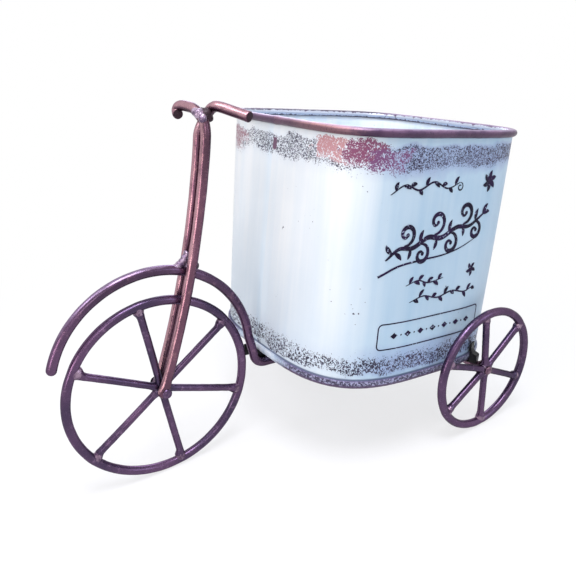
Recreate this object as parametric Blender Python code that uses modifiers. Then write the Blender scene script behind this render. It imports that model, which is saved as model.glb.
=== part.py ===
# Tricycle planter: three rod wheels, a rod fork and spine, and a sheet bucket.
# Metres, +Z up. The front wheel is at -X, the printed side of the bucket faces -Y.
# The origin is on the floor, under the middle of the whole object.

import math

import bmesh
import bpy
from mathutils import Matrix, Vector

# Frame of the tricycle
GAP = 0.0003                    # space between pieces that touch
RUNNING_CLEARANCE = 0.0001      # round a pin in its bore
CUT_OVERRUN = 0.004             # how far a cutter runs past what it cuts
ROD_RADIUS = 0.0029             # fork, spine, rear axle and wheel rings
WHEELBASE = 0.1898
FRONT_AXLE_X = -0.0862

# Wheels
FRONT_RING_RADIUS = 0.055       # to the middle of the ring's rod
REAR_RING_RADIUS = 0.040
SPOKE_RADIUS = 0.0022
SPOKE_WELD_RADIUS = 0.0033      # weld at the ring end
SPOKE_WELD_LENGTH = 0.0042
SPOKE_ROOT_RADIUS = 0.0020      # hub end, where six spokes crowd
FRONT_SPOKE_DEGREES = (97.7, 34.6, -20.4, -81.7, -145.5, 151.9)    # laid by hand
REAR_SPOKE_DEGREES = (95.5, 37.2, -27.1, -88.9, -149.4, 158.0)
HUB_RADIUS = 0.0046
HUB_HALF_WIDTH = 0.0028
JOURNAL_RADIUS = 0.0020
HEAD_RADIUS = 0.0030
HEAD_THICKNESS = 0.0010
WASHER_RADIUS = 0.0046
WASHER_THICKNESS = 0.0010

# Fork and handlebar
FORK_TOP_RISE = 0.137           # straight part of a leg above the axle
FORK_RAKE = 0.0394              # how far that part leans back
FORK_BOW = 0.0043
EYE_RADIUS = 0.0048
EYE_HALF_WIDTH = 0.0027
LEG_TOP_Y = 0.0044              # the legs close in above the mudguard
LEG_SKEW = 0.0008               # below it one stands ahead of the other by twice this
BAR_REACH = 0.0250              # half of the handlebar, sideways
HANDLEBAR_WELD_RADIUS = 0.0044

# Mudguard and spine
GUARD_ROOM = 0.0001             # wider than the wheel and its own rod, by so much
GUARD_RISE = 0.0120             # its centre above the front axle
GUARD_TIP_DEG = 161.0
GUARD_HEEL_DEG = 4.0
HOOK_RADIUS = 0.0085
HOOK_DROP = 0.0147              # straight run between the arc and the hook
HOOK_SET = 0.0032               # how far that run leans back
GUARD_WELD_LENGTH = 0.0100
GUARD_WELD_HEIGHT = 0.0032

# Bucket, in its own frame, which leans back
BUCKET_LEAN_DEG = 6.2
BUCKET_LIFT = 0.001469          # under the foot, over the rear axle
BUCKET_HEIGHT = 0.1467
BUCKET_ROOM = 0.0074            # foot's front from the mudguard's arc
REAR_OVERHANG = 0.0281          # foot's back behind the rear axle
FOOT_HALF_WIDTH = 0.0760
WHEEL_ROOM = 0.0070             # a rear wheel's middle plane from the bucket's foot
FOOT_SQUARENESS = 3.4           # exponent of the superellipse, 2 would be an ellipse
RIM_SHORTER = 0.0037            # half of the mouth's length, less than the foot's
RIM_HALF_WIDTH = 0.0722
RIM_SQUARENESS = 4.6
SHEET = 0.0009                  # wall and floor sheet
RIM_TUBE_RADIUS = 0.0023
RIM_TUBE_SHIFT = -0.0003        # tube's middle from the wall's outer face
RIM_SLOT_DEPTH = 0.0017
SEAM_HALF_WIDTH = 0.0032
SEAM_PROUD = 0.0006
FLOOR_RECESS = 0.0040           # floor above the foot seam's lower edge
FOOT_SEAM_HEIGHT = 0.0048

# Black brackets
BRACKET_SHEET = 0.0012
FRONT_BRACKET_LENGTH = 0.0180
FRONT_BRACKET_WIDTH = 0.0104
FRONT_BRACKET_REACH = 0.0030    # in front of the foot seam
FRONT_BRACKET_DROP = 0.0085     # far flange below the foot
FRONT_FLANGE_DROP = 0.0078      # flange that is welded to the rod
REAR_BRACKET_LENGTH = 0.0056
REAR_BRACKET_HEIGHT = 0.0120
REAR_BRACKET_DEPTH = 0.0060     # out from the wall, over the axle

# Mesh finish
ROD_SIDES_LEVEL = 3             # bevel resolution of a rod, 10 sides
RING_POINTS = 44
PATH_POINTS = 30
PLAN_POINTS = 64
SPOKE_STEPS = 10
ROUND_STEPS = 20
SMALL_STEPS = 14
LEG_STEPS = 16
BAR_STEPS = 26
WALL_LEVELS = 5

# Shares: the pin head's dome as (radius, height), and how far the bucket's outline
# points crowd toward its corners.
HEAD_SHARES = ((0.0, 1.0), (0.55, 0.88), (0.9, 0.45), (1.0, 0.0))
CORNER_SHARE = -0.55
# Where the legs start and end closing in, of their height above the axle.
CLOSE_SHARES = (0.53, 0.65)
# The bent top of each rod, from the middle of the legs' tops: back, across and up, in
# shares of the handlebar's reach. The left leg turns right and the right leg left.
BAR_SHARES = {
    "left": ((0.036, -0.168, 0.26), (0.050, -0.096, 0.50), (0.018, 0.056, 0.656),
             (0.008, 0.272, 0.744), (0.0, 0.536, 0.764), (-0.024, 0.776, 0.764),
             (-0.052, 0.912, 0.724), (-0.052, 0.98, 0.628), (-0.02, 0.956, 0.548)),
    "right": ((0.032, 0.172, 0.216), (0.112, 0.178, 0.380), (0.222, 0.172, 0.535),
              (0.300, 0.118, 0.672), (0.342, 0.012, 0.752), (0.386, -0.160, 0.782),
              (0.580, -0.520, 0.684), (0.712, -0.868, 0.600)),
}
WELD_SHARES = (0.150, 0.008, 0.640)     # the weld between them
# The rear bracket's outline as (out from the wall, up from the foot), in shares of its
# depth and height: under the foot seam, up outside it, in to the wall, and down again.
BRACKET_SHARES = ((-0.30, -0.085), (-0.30, -0.03), (0.265, -0.03), (0.265, 0.43),
                  (0.08, 0.58), (0.08, 1.0), (0.26, 1.0), (0.32, 0.62), (0.49, 0.48),
                  (0.91, 0.41), (1.0, 0.35), (1.0, -0.085))
SIDES = (("left", -1), ("right", 1))

# Worked out from the sizes above
ROD_FOOT = ROD_RADIUS * math.cos(math.pi / 10)      # a ring stands on a flat of its rod
FRONT_AXLE_Z = FRONT_RING_RADIUS + ROD_FOOT
REAR_AXLE_X = FRONT_AXLE_X + WHEELBASE
GUARD_RADIUS = FRONT_RING_RADIUS + 2 * ROD_RADIUS + GUARD_ROOM      # to the middle of the rod
FOOT_HALF_LENGTH = (WHEELBASE + REAR_OVERHANG - GUARD_RADIUS - BUCKET_ROOM) / 2
RIM_HALF_LENGTH = FOOT_HALF_LENGTH - RIM_SHORTER
BUCKET_X = FRONT_AXLE_X + GUARD_RADIUS + BUCKET_ROOM + FOOT_HALF_LENGTH     # middle of the foot
TRACK_HALF = FOOT_HALF_WIDTH + WHEEL_ROOM           # rear wheel from the centre line
REAR_AXLE_Z = REAR_RING_RADIUS + ROD_FOOT
LEG_Y = 2 * ROD_RADIUS + GAP
PIN_REACH = LEG_Y + ROD_RADIUS + GAP
WASHER_Y = TRACK_HALF - HUB_HALF_WIDTH - GAP - WASHER_THICKNESS
SHOULDER_Y = WASHER_Y - GAP
REAR_REACH = TRACK_HALF + HUB_HALF_WIDTH + GAP
BORE_RADIUS = JOURNAL_RADIUS + RUNNING_CLEARANCE
LEAN = math.radians(BUCKET_LEAN_DEG)
BUCKET_Z = REAR_AXLE_Z + ROD_RADIUS + BUCKET_LIFT + math.tan(LEAN) * (REAR_AXLE_X - BUCKET_X)

COLOURS = {
    "plum rod": ((0.130, 0.060, 0.105, 1.0), 0.38, 0.75),
    "pin steel": ((0.150, 0.110, 0.130, 1.0), 0.40, 0.80),
    "bucket enamel": ((0.660, 0.800, 0.900, 1.0), 0.45, 0.15),
    "black sheet": ((0.020, 0.020, 0.026, 1.0), 0.50, 0.40),
}


def clear_scene():
    for old in list(bpy.data.objects):
        bpy.data.objects.remove(old, do_unlink=True)


def new_collection(name):
    found = bpy.data.collections.new(name)
    bpy.context.scene.collection.children.link(found)
    return found


def finish(name):
    """A Principled material, made once for each finish."""
    material = bpy.data.materials.get(name)
    if material is None:
        colour, roughness, metallic = COLOURS[name]
        material = bpy.data.materials.new(name)
        material.use_nodes = True
        shader = material.node_tree.nodes["Principled BSDF"]
        shader.inputs["Base Color"].default_value = colour
        shader.inputs["Roughness"].default_value = roughness
        shader.inputs["Metallic"].default_value = metallic
    return material


def add_object(name, data, finish_name, parent=None, group=None):
    made = bpy.data.objects.new(name, data)
    (group or PARTS).objects.link(made)
    if finish_name:
        data.materials.append(finish(finish_name))
    if parent:
        made.parent = parent
    return made


def add_cutter(name, data, parent=None):
    cutter = add_object(name, data, None, parent, CUTTERS)
    cutter.hide_render = True
    cutter.display_type = "WIRE"
    return cutter


def add_empty(name, location, lean=0.0):
    empty = bpy.data.objects.new(name, None)
    empty.location = location
    empty.rotation_euler = (0.0, lean, 0.0)
    PARTS.objects.link(empty)
    return empty


def boolean(target, cutter, operation="DIFFERENCE"):
    step = target.modifiers.new(operation.title(), "BOOLEAN")
    step.operation = operation
    step.solver = "EXACT"
    step.object = cutter


def rod_curve(name, points, radius=ROD_RADIUS, cyclic=False, level=ROD_SIDES_LEVEL):
    """A round rod along a poly line of points."""
    curve = bpy.data.curves.new(name, "CURVE")
    curve.dimensions = "3D"
    curve.bevel_depth = radius
    curve.bevel_resolution = level
    curve.use_fill_caps = not cyclic
    spline = curve.splines.new("POLY")
    spline.points.add(len(points) - 1)
    for place, point in zip(spline.points, points):
        place.co = (*point, 1.0)
    spline.use_cyclic_u = cyclic
    return curve


def mesh_from_curve(name, curve):
    """The curve's tube as a closed mesh, so that it can be joined and cut."""
    guide = bpy.data.objects.new(name + "_guide", curve)
    CUTTERS.objects.link(guide)
    bpy.context.view_layer.update()
    evaluated = guide.evaluated_get(bpy.context.evaluated_depsgraph_get())
    mesh = bpy.data.meshes.new_from_object(evaluated)
    mesh.name = name
    bpy.data.objects.remove(guide, do_unlink=True)
    tube = bmesh.new()
    tube.from_mesh(mesh)
    bmesh.ops.remove_doubles(tube, verts=tube.verts, dist=GAP / 10)
    bmesh.ops.recalc_face_normals(tube, faces=tube.faces)
    tube.to_mesh(mesh)
    tube.free()
    return mesh


def smooth_path(keys, count):
    """Points on a Catmull-Rom curve through the keys, evenly spaced in number."""
    ends = [keys[0] * 2 - keys[1], *keys, keys[-1] * 2 - keys[-2]]
    path = []
    for index in range(count):
        along = index / (count - 1) * (len(keys) - 1)
        start = min(int(along), len(keys) - 2)
        t = along - start
        a, b, c, d = ends[start:start + 4]
        bend = (a * 2 - b * 5 + c * 4 - d) * t ** 2 + (b * 3 - a - c * 3 + d) * t ** 3
        path.append((b * 2 + (c - a) * t + bend) / 2)
    return path


def turned(name, profile, steps, closed=False):
    """A Screw of a profile of (radius, height) pairs, its outer side from top to bottom."""
    mesh = bpy.data.meshes.new(name)
    points = [(radius, 0.0, height) for radius, height in profile]
    edges = [(i, i + 1) for i in range(len(points) - 1)]
    if closed:
        edges.append((len(points) - 1, 0))
    mesh.from_pydata(points, edges, [])
    made = add_object(name, mesh, None, group=CUTTERS)
    screw = made.modifiers.new("Turn", "SCREW")
    screw.axis = "Z"
    screw.steps = steps
    screw.render_steps = steps
    screw.use_merge_vertices = True
    screw.merge_threshold = GAP / 10
    screw.use_smooth_shade = True
    return made


def turned_sleeve(name, radius, high, low, steps):
    """A round sleeve between two heights, for a pin or screw of the journal's size."""
    profile = [(BORE_RADIUS, high), (radius, high), (radius, low), (BORE_RADIUS, low)]
    return turned(name, profile, steps, closed=True)


def move_to_parts(made, finish_name, parent=None):
    CUTTERS.objects.unlink(made)
    PARTS.objects.link(made)
    made.data.materials.append(finish(finish_name))
    if parent:
        made.parent = parent
    return made


def cylinder_mesh(name, radius, depth, steps, matrix):
    solid = bmesh.new()
    bmesh.ops.create_cone(solid, cap_ends=True, segments=steps, radius1=radius,
                          radius2=radius, depth=depth, matrix=matrix)
    mesh = bpy.data.meshes.new(name)
    solid.to_mesh(mesh)
    solid.free()
    return mesh


def span_box(name, low, high):
    """A box between two corners."""
    size = [b - a for a, b in zip(low, high)]
    place = Matrix.Translation([(a + b) / 2 for a, b in zip(low, high)])
    solid = bmesh.new()
    bmesh.ops.create_cube(solid, size=1.0, matrix=place @ Matrix.Diagonal((*size, 1.0)))
    mesh = bpy.data.meshes.new(name)
    solid.to_mesh(mesh)
    solid.free()
    return mesh


def shade_round(made, angle_deg=35.0):
    made.data.shade_smooth()
    made.data.set_sharp_from_angle(angle=math.radians(angle_deg))


def across(centre_y=0.0, x=0.0, z=0.0):
    """Lays a solid that stands along Z along Y instead."""
    return Matrix.Translation((x, centre_y, z)) @ Matrix.Rotation(math.pi / 2, 4, "X")


# Wheels


def build_ring(name, radius, hub):
    step = math.tau / RING_POINTS
    points = [(radius * math.cos(i * step), 0.0, radius * math.sin(i * step))
              for i in range(RING_POINTS)]
    mesh = mesh_from_curve(name, rod_curve(name, points, cyclic=True))
    ring = add_object(name, mesh, "plum rod", hub)
    shade_round(ring)


def build_hub(name, hub):
    sleeve = turned_sleeve(name, HUB_RADIUS, HUB_HALF_WIDTH, -HUB_HALF_WIDTH, ROUND_STEPS)
    move_to_parts(sleeve, "plum rod", hub)
    sleeve.rotation_euler = (math.pi / 2, 0.0, 0.0)


def build_spoke(name, ring_radius, angle, hub):
    """A thin rod from the hub out to the ring, with a weld flare there."""
    root = HUB_RADIUS + GAP
    tip = ring_radius - ROD_RADIUS - GAP
    weld = SPOKE_WELD_LENGTH
    profile = [(0.0, tip), (SPOKE_WELD_RADIUS, tip), (SPOKE_WELD_RADIUS, tip - weld / 4),
               (SPOKE_RADIUS, tip - weld), (SPOKE_RADIUS, root + weld),
               (SPOKE_ROOT_RADIUS, root), (0.0, root)]
    spoke = move_to_parts(turned(name, profile, SPOKE_STEPS), "plum rod", hub)
    spoke.rotation_euler = (0.0, angle, 0.0)


def build_wheel(name, ring_radius, spoke_degrees, place):
    hub = add_empty(name + "_axis", place)
    build_ring(name + "_ring", ring_radius, hub)
    build_hub(name + "_hub", hub)
    for index, degrees in enumerate(spoke_degrees):
        build_spoke(f"{name}_spoke_{index + 1}", ring_radius,
                    math.pi / 2 - math.radians(degrees), hub)


# Axles


def headed_pin(name, sections, reach, place, steps=ROUND_STEPS):
    """A pin along Y: (radius, half length) sections from the middle out, a head each end."""
    half = [(HEAD_RADIUS * share, reach + HEAD_THICKNESS * rise)
            for share, rise in HEAD_SHARES]
    for radius, length in reversed(sections):
        half.append((radius, length))
    profile = half + [(radius, -height) for radius, height in reversed(half)]
    pin = move_to_parts(turned(name, profile, steps), "pin steel")
    pin.location = place
    pin.rotation_euler = (math.pi / 2, 0.0, 0.0)


def build_axles():
    headed_pin("front_axle_pin", [(JOURNAL_RADIUS, PIN_REACH)], PIN_REACH,
               (FRONT_AXLE_X, 0.0, FRONT_AXLE_Z))
    headed_pin("rear_axle", [(ROD_RADIUS, SHOULDER_Y), (JOURNAL_RADIUS, SHOULDER_Y),
                             (JOURNAL_RADIUS, REAR_REACH)], REAR_REACH,
               (REAR_AXLE_X, 0.0, REAR_AXLE_Z))
    for side, sign in SIDES:
        half = WASHER_THICKNESS / 2
        washer = turned_sleeve(f"rear_{side}_washer", WASHER_RADIUS, half, -half,
                               SMALL_STEPS)
        move_to_parts(washer, "pin steel")
        washer.location = (REAR_AXLE_X, sign * (WASHER_Y + half), REAR_AXLE_Z)
        washer.rotation_euler = (math.pi / 2, 0.0, 0.0)


# Fork and handlebar


def leg_point(share, side):
    """A point of a fork leg, share 0 at the axle and 1 at the top of its straight part."""
    bow = FORK_BOW * 4 * share * (1 - share)
    start, end = CLOSE_SHARES
    closed = min(max((share - start) / (end - start), 0.0), 1.0)
    closed = closed * closed * (3 - 2 * closed)
    aside = LEG_Y + (LEG_TOP_Y - LEG_Y) * closed
    skew = side * LEG_SKEW * (1 - closed)
    return Vector((FRONT_AXLE_X + FORK_RAKE * share + bow + skew, side * aside,
                   FRONT_AXLE_Z + FORK_TOP_RISE * share))


def fork_path(side, sign):
    legs = [leg_point(index / LEG_STEPS, sign) for index in range(LEG_STEPS)]
    keys = [leg_point(1.0, sign)]
    keys += [leg_point(1.0, 0) + Vector(shares) * BAR_REACH for shares in BAR_SHARES[side]]
    return legs + smooth_path(keys, BAR_STEPS)


def build_fork():
    for side, sign in SIDES:
        name = f"fork_rod_{side}"
        mesh = mesh_from_curve(name, rod_curve(name, fork_path(side, sign)))
        rod = add_object(name, mesh, "plum rod")
        eye_place = across(sign * LEG_Y, FRONT_AXLE_X, FRONT_AXLE_Z)
        eye = add_cutter(f"fork_eye_{side}", cylinder_mesh(
            f"fork_eye_{side}", EYE_RADIUS, EYE_HALF_WIDTH * 2, ROUND_STEPS, eye_place))
        bore = add_cutter(f"fork_bore_{side}", cylinder_mesh(
            f"fork_bore_{side}", BORE_RADIUS, ROD_RADIUS * 2 + CUT_OVERRUN, ROUND_STEPS,
            eye_place))
        boolean(rod, eye, "UNION")
        boolean(rod, bore)
        shade_round(rod)


def rod_cutter(name, path):
    """The same rod, fatter by the gap, to cut what lies against it."""
    return add_cutter(name, mesh_from_curve(name, rod_curve(name, path, ROD_RADIUS + GAP)))


def build_handlebar_weld():
    centre = leg_point(1.0, 0) + Vector(WELD_SHARES) * BAR_REACH
    solid = bmesh.new()
    bmesh.ops.create_uvsphere(solid, u_segments=SMALL_STEPS, v_segments=SMALL_STEPS // 2 + 1,
                              radius=HANDLEBAR_WELD_RADIUS, matrix=Matrix.Translation(centre))
    mesh = bpy.data.meshes.new("handlebar_weld")
    solid.to_mesh(mesh)
    solid.free()
    weld = add_object("handlebar_weld", mesh, "plum rod")
    for side, sign in SIDES:
        path = fork_path(side, sign)[LEG_STEPS - 2:]
        boolean(weld, rod_cutter(f"weld_cut_{side}", path))
    shade_round(weld)


# Mudguard and spine, one rod in the middle plane


def guard_centre():
    return Vector((FRONT_AXLE_X, 0.0, FRONT_AXLE_Z + GUARD_RISE))


def guard_point(degrees, radius=GUARD_RADIUS):
    turn = math.radians(degrees)
    return guard_centre() + Vector((radius * math.cos(turn), 0.0, radius * math.sin(turn)))


def spine_path():
    """Arc over the wheel, straight down, hook, and back to the rear axle."""
    arc_steps = PATH_POINTS
    points = [guard_point(GUARD_TIP_DEG + (GUARD_HEEL_DEG - GUARD_TIP_DEG) * i / arc_steps)
              for i in range(arc_steps + 1)]
    heel = points[-1]
    hook_top = heel + Vector((HOOK_SET, 0.0, -HOOK_DROP))
    end = Vector((REAR_AXLE_X - 2 * ROD_RADIUS - GAP, 0.0, REAR_AXLE_Z))
    centre = hook_top + Vector((HOOK_RADIUS, 0.0, 0.0))
    slope = math.atan2(centre.z - HOOK_RADIUS - end.z, end.x - centre.x)
    hook_steps = PATH_POINTS // 4
    sweep = math.pi / 2 - slope
    for i in range(hook_steps + 1):
        turn = math.pi + sweep * i / hook_steps
        points.append(centre + HOOK_RADIUS * Vector((math.cos(turn), 0.0, math.sin(turn))))
    points.append(end)
    return points


def build_spine():
    path = spine_path()
    mesh = mesh_from_curve("spine_rod", rod_curve("spine_rod", path))
    rod = add_object("spine_rod", mesh, "plum rod")
    shade_round(rod)
    return path


def build_guard_weld(path):
    """The web between the fork's legs, on top of the mudguard, in front of the fork."""
    share = (guard_point(90.0).z - FRONT_AXLE_Z) / FORK_TOP_RISE
    foot = leg_point(share, 0)
    top = share + GUARD_WELD_HEIGHT / FORK_TOP_RISE
    half = leg_point(top, 1).y - ROD_RADIUS - GAP
    corners = [foot + Vector((-GUARD_WELD_LENGTH, -half, -ROD_RADIUS)),
               foot + Vector((ROD_RADIUS, -half, -ROD_RADIUS)),
               foot + Vector((ROD_RADIUS, -half, GUARD_WELD_HEIGHT))]
    mesh = bpy.data.meshes.new("fender_weld")
    mesh.from_pydata(corners, [], [(0, 1, 2)])
    weld = add_object("fender_weld", mesh, "plum rod")
    thick = weld.modifiers.new("Thick", "SOLIDIFY")
    thick.thickness = half * 2
    thick.offset = -1.0
    bevel = weld.modifiers.new("Round", "BEVEL")
    bevel.width = half / 4
    bevel.segments = 2
    boolean(weld, rod_cutter("fender_weld_cut", path[:PATH_POINTS]))


# Bucket


def plan_point(angle, half_length, half_width, squareness):
    power = 2 / squareness
    c, s = math.cos(angle), math.sin(angle)
    return (math.copysign(abs(c) ** power, c) * half_length,
            math.copysign(abs(s) ** power, s) * half_width)


def bucket_section(height, offset=0.0, seam=0.0):
    """The wall's outline at a height, moved out by the offset, with the seam's rib."""
    share = height / BUCKET_HEIGHT
    half_length = FOOT_HALF_LENGTH + (RIM_HALF_LENGTH - FOOT_HALF_LENGTH) * share + offset
    half_width = FOOT_HALF_WIDTH + (RIM_HALF_WIDTH - FOOT_HALF_WIDTH) * share + offset
    squareness = FOOT_SQUARENESS + (RIM_SQUARENESS - FOOT_SQUARENESS) * share
    outline = []
    for index in range(PLAN_POINTS):
        x, y = plan_point(plan_angle(index), half_length, half_width, squareness)
        near_seam = x < 0 and abs(y) <= SEAM_HALF_WIDTH
        outline.append(Vector((x - (seam if near_seam else 0.0), y, height)))
    return outline


def plan_angle(index):
    """Even steps, bent so that the points are even round the rounded square."""
    turn = math.tau * index / PLAN_POINTS
    return turn + CORNER_SHARE * math.sin(4 * turn) / 4


def loft(name, loops, close_loops=False, cap=False):
    """Skins neighbouring loops of equal length; the last can join the first, or cap."""
    solid = bmesh.new()
    rows = [[solid.verts.new(point) for point in loop] for loop in loops]
    pairs = list(zip(rows, rows[1:]))
    if close_loops:
        pairs.append((rows[-1], rows[0]))
    for low, high in pairs:
        for i in range(len(low)):
            j = (i + 1) % len(low)
            solid.faces.new((low[i], low[j], high[j], high[i]))
    if cap:
        for row in (rows[0], rows[-1]):
            solid.faces.new(row)
    bmesh.ops.recalc_face_normals(solid, faces=solid.faces)
    mesh = bpy.data.meshes.new(name)
    solid.to_mesh(mesh)
    solid.free()
    return mesh


def rim_middle():
    return BUCKET_HEIGHT - RIM_TUBE_RADIUS


def wall_top():
    return rim_middle() - RIM_TUBE_RADIUS + RIM_SLOT_DEPTH - GAP


def wall_bottom():
    return SHEET + GAP


def build_bucket_wall(bucket):
    low, high = wall_bottom(), wall_top()
    heights = [low + (high - low) * i / (WALL_LEVELS - 1) for i in range(WALL_LEVELS)]
    seam_low = FOOT_SEAM_HEIGHT + GAP
    seam_high = rim_middle() - RIM_TUBE_RADIUS - GAP
    outer = [bucket_section(low), bucket_section(seam_low),
             bucket_section(seam_low, seam=SEAM_PROUD)]
    outer += [bucket_section(height, seam=SEAM_PROUD) for height in heights[1:-1]]
    outer += [bucket_section(seam_high, seam=SEAM_PROUD), bucket_section(seam_high),
              bucket_section(high)]
    inner = [bucket_section(height, -SHEET) for height in reversed(heights)]
    wall = add_object("bucket_wall", loft("bucket_wall", outer + inner, close_loops=True),
                      "bucket enamel", bucket)
    seal = bmesh.new()
    seal.from_mesh(wall.data)
    bmesh.ops.remove_doubles(seal, verts=seal.verts, dist=GAP / 10)
    seal.to_mesh(wall.data)
    seal.free()
    shade_round(wall)


def build_bucket_rim(bucket):
    """A tube round the mouth, slotted underneath for the wall's edge."""
    middle = rim_middle()
    slot_in = -SHEET - GAP - RIM_TUBE_SHIFT
    slot_out = GAP - RIM_TUBE_SHIFT
    start = -math.acos(slot_out / RIM_TUBE_RADIUS)
    end = math.pi + math.acos(-slot_in / RIM_TUBE_RADIUS)
    steps = SMALL_STEPS - 4
    outline = []
    for i in range(steps + 1):
        turn = start + (end - start) * i / steps
        outline.append((RIM_TUBE_RADIUS * math.cos(turn), RIM_TUBE_RADIUS * math.sin(turn)))
    slot_z = RIM_SLOT_DEPTH - RIM_TUBE_RADIUS
    outline += [(slot_in, slot_z), (slot_out, slot_z)]
    loops = []
    for offset, rise in outline:
        level = bucket_section(middle, RIM_TUBE_SHIFT + offset)
        loops.append([Vector((p.x, p.y, middle + rise)) for p in level])
    rim = add_object("bucket_rim", loft("bucket_rim", loops, close_loops=True),
                     "plum rod", bucket)
    shade_round(rim)


def build_bucket_pan(bucket):
    """Floor sheet, down inside the wall, and folded up round the wall's foot."""
    inner = -SHEET - GAP
    outer = GAP
    corner = SHEET
    steps = (
        (inner - corner, FLOOR_RECESS + SHEET), (inner, FLOOR_RECESS),
        (inner, SHEET), (outer, SHEET), (outer, FOOT_SEAM_HEIGHT),
        (outer + SHEET, FOOT_SEAM_HEIGHT), (outer + SHEET, corner / 2), (outer + SHEET / 2, 0.0),
        (inner - SHEET / 2, 0.0), (inner - SHEET, corner / 2), (inner - SHEET, FLOOR_RECESS - corner),
        (inner - SHEET - corner, FLOOR_RECESS),
    )
    loops = []
    for offset, height in steps:
        level = bucket_section(0.0, offset)
        loops.append([Vector((p.x, p.y, height)) for p in level])
    pan = add_object("bucket_floor_pan", loft("bucket_floor_pan", loops, cap=True),
                     "bucket enamel", bucket)
    shade_round(pan)


# Black brackets, in the bucket's frame


def build_front_bracket(bucket):
    """A channel along the spine: under the floor, and out below the foot seam."""
    near = ROD_RADIUS + GAP
    far = near + FRONT_BRACKET_WIDTH
    seam = -FOOT_HALF_LENGTH - GAP - SHEET
    front = seam - FRONT_BRACKET_REACH
    back = front + FRONT_BRACKET_LENGTH
    recess = -FOOT_HALF_LENGTH + SHEET * 2 + GAP * 3
    top = FLOOR_RECESS - GAP
    block = span_box("front_bracket", (front, near, -FRONT_BRACKET_DROP), (back, far, top))
    bracket = add_object("front_bracket", block, "black sheet", bucket)
    over = CUT_OVERRUN
    cuts = (((front - over, near + BRACKET_SHEET, -FRONT_BRACKET_DROP - over),
             (back + over, far - BRACKET_SHEET, top - BRACKET_SHEET)),
            ((front - over, near - over, -GAP * 2), (recess, far + over, top + over)),
            ((front - over, near - over, -FRONT_BRACKET_DROP - over),
             (back + over, far - BRACKET_SHEET * 2, -FRONT_FLANGE_DROP)))
    for index, (low, high) in enumerate(cuts):
        name = f"front_bracket_cut_{index}"
        boolean(bracket, add_cutter(name, span_box(name, low, high), bucket))


def foot_edge(x):
    """Half width of the wall's foot at a place along the bucket."""
    share = (x / FOOT_HALF_LENGTH) ** FOOT_SQUARENESS
    return FOOT_HALF_WIDTH * (1 - share) ** (1 / FOOT_SQUARENESS)


def build_rear_brackets(bucket):
    """One each side: a tab that reaches from the axle up round the foot seam."""
    x = (REAR_AXLE_X - BUCKET_X) / math.cos(LEAN)
    half = REAR_BRACKET_LENGTH / 2
    slant = math.atan2(foot_edge(x - half) - foot_edge(x + half), REAR_BRACKET_LENGTH)
    for side, sign in SIDES:
        name = f"rear_{side}_bracket"
        corners = [(-half, sign * REAR_BRACKET_DEPTH * out, REAR_BRACKET_HEIGHT * up)
                   for out, up in BRACKET_SHARES]
        mesh = bpy.data.meshes.new(name)
        mesh.from_pydata(corners, [], [tuple(range(len(corners)))])
        bracket = add_object(name, mesh, "black sheet", bucket)
        bracket.location = (x, sign * foot_edge(x), 0.0)
        bracket.rotation_euler = (0.0, 0.0, -sign * slant)
        thick = bracket.modifiers.new("Thick", "SOLIDIFY")
        thick.thickness = REAR_BRACKET_LENGTH
        thick.offset = sign


clear_scene()
PARTS = new_collection("tricycle_planter")
CUTTERS = new_collection("cutters")
build_wheel("front_wheel", FRONT_RING_RADIUS, FRONT_SPOKE_DEGREES,
            (FRONT_AXLE_X, 0.0, FRONT_AXLE_Z))
for side_name, side_sign in SIDES:
    build_wheel(f"rear_{side_name}_wheel", REAR_RING_RADIUS, REAR_SPOKE_DEGREES,
                (REAR_AXLE_X, side_sign * TRACK_HALF, REAR_AXLE_Z))
build_axles()
build_fork()
build_handlebar_weld()
spine = build_spine()
build_guard_weld(spine)
bucket_frame = add_empty("bucket_frame", (BUCKET_X, 0.0, BUCKET_Z), LEAN)
build_bucket_wall(bucket_frame)
build_bucket_rim(bucket_frame)
build_bucket_pan(bucket_frame)
build_front_bracket(bucket_frame)
build_rear_brackets(bucket_frame)
bpy.context.view_layer.update()
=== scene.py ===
import math

import bmesh
import bpy
from mathutils import Matrix, Vector, noise


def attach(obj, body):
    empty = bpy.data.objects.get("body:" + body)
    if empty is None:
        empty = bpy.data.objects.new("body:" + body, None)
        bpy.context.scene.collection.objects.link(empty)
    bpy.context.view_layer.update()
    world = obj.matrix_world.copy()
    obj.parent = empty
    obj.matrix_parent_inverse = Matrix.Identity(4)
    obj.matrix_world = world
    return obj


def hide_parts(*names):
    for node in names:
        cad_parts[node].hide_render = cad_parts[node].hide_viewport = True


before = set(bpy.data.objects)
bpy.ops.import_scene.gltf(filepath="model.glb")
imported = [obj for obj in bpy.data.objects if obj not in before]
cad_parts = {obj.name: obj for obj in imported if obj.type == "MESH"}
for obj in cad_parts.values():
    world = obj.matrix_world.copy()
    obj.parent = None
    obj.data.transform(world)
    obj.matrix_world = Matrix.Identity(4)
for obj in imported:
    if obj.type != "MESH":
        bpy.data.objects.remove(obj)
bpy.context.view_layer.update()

scene = bpy.context.scene
scene.view_settings.view_transform = "Standard"


# nodes of the materials and the world

def tint(colour):
    # 0-255 screen colour to the linear colour that the shaders take
    shares = [part / 255 for part in colour]
    linear = [s / 12.92 if s <= 0.04045 else ((s + 0.055) / 1.055) ** 2.4 for s in shares]
    return (*linear, 1.0)


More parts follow.
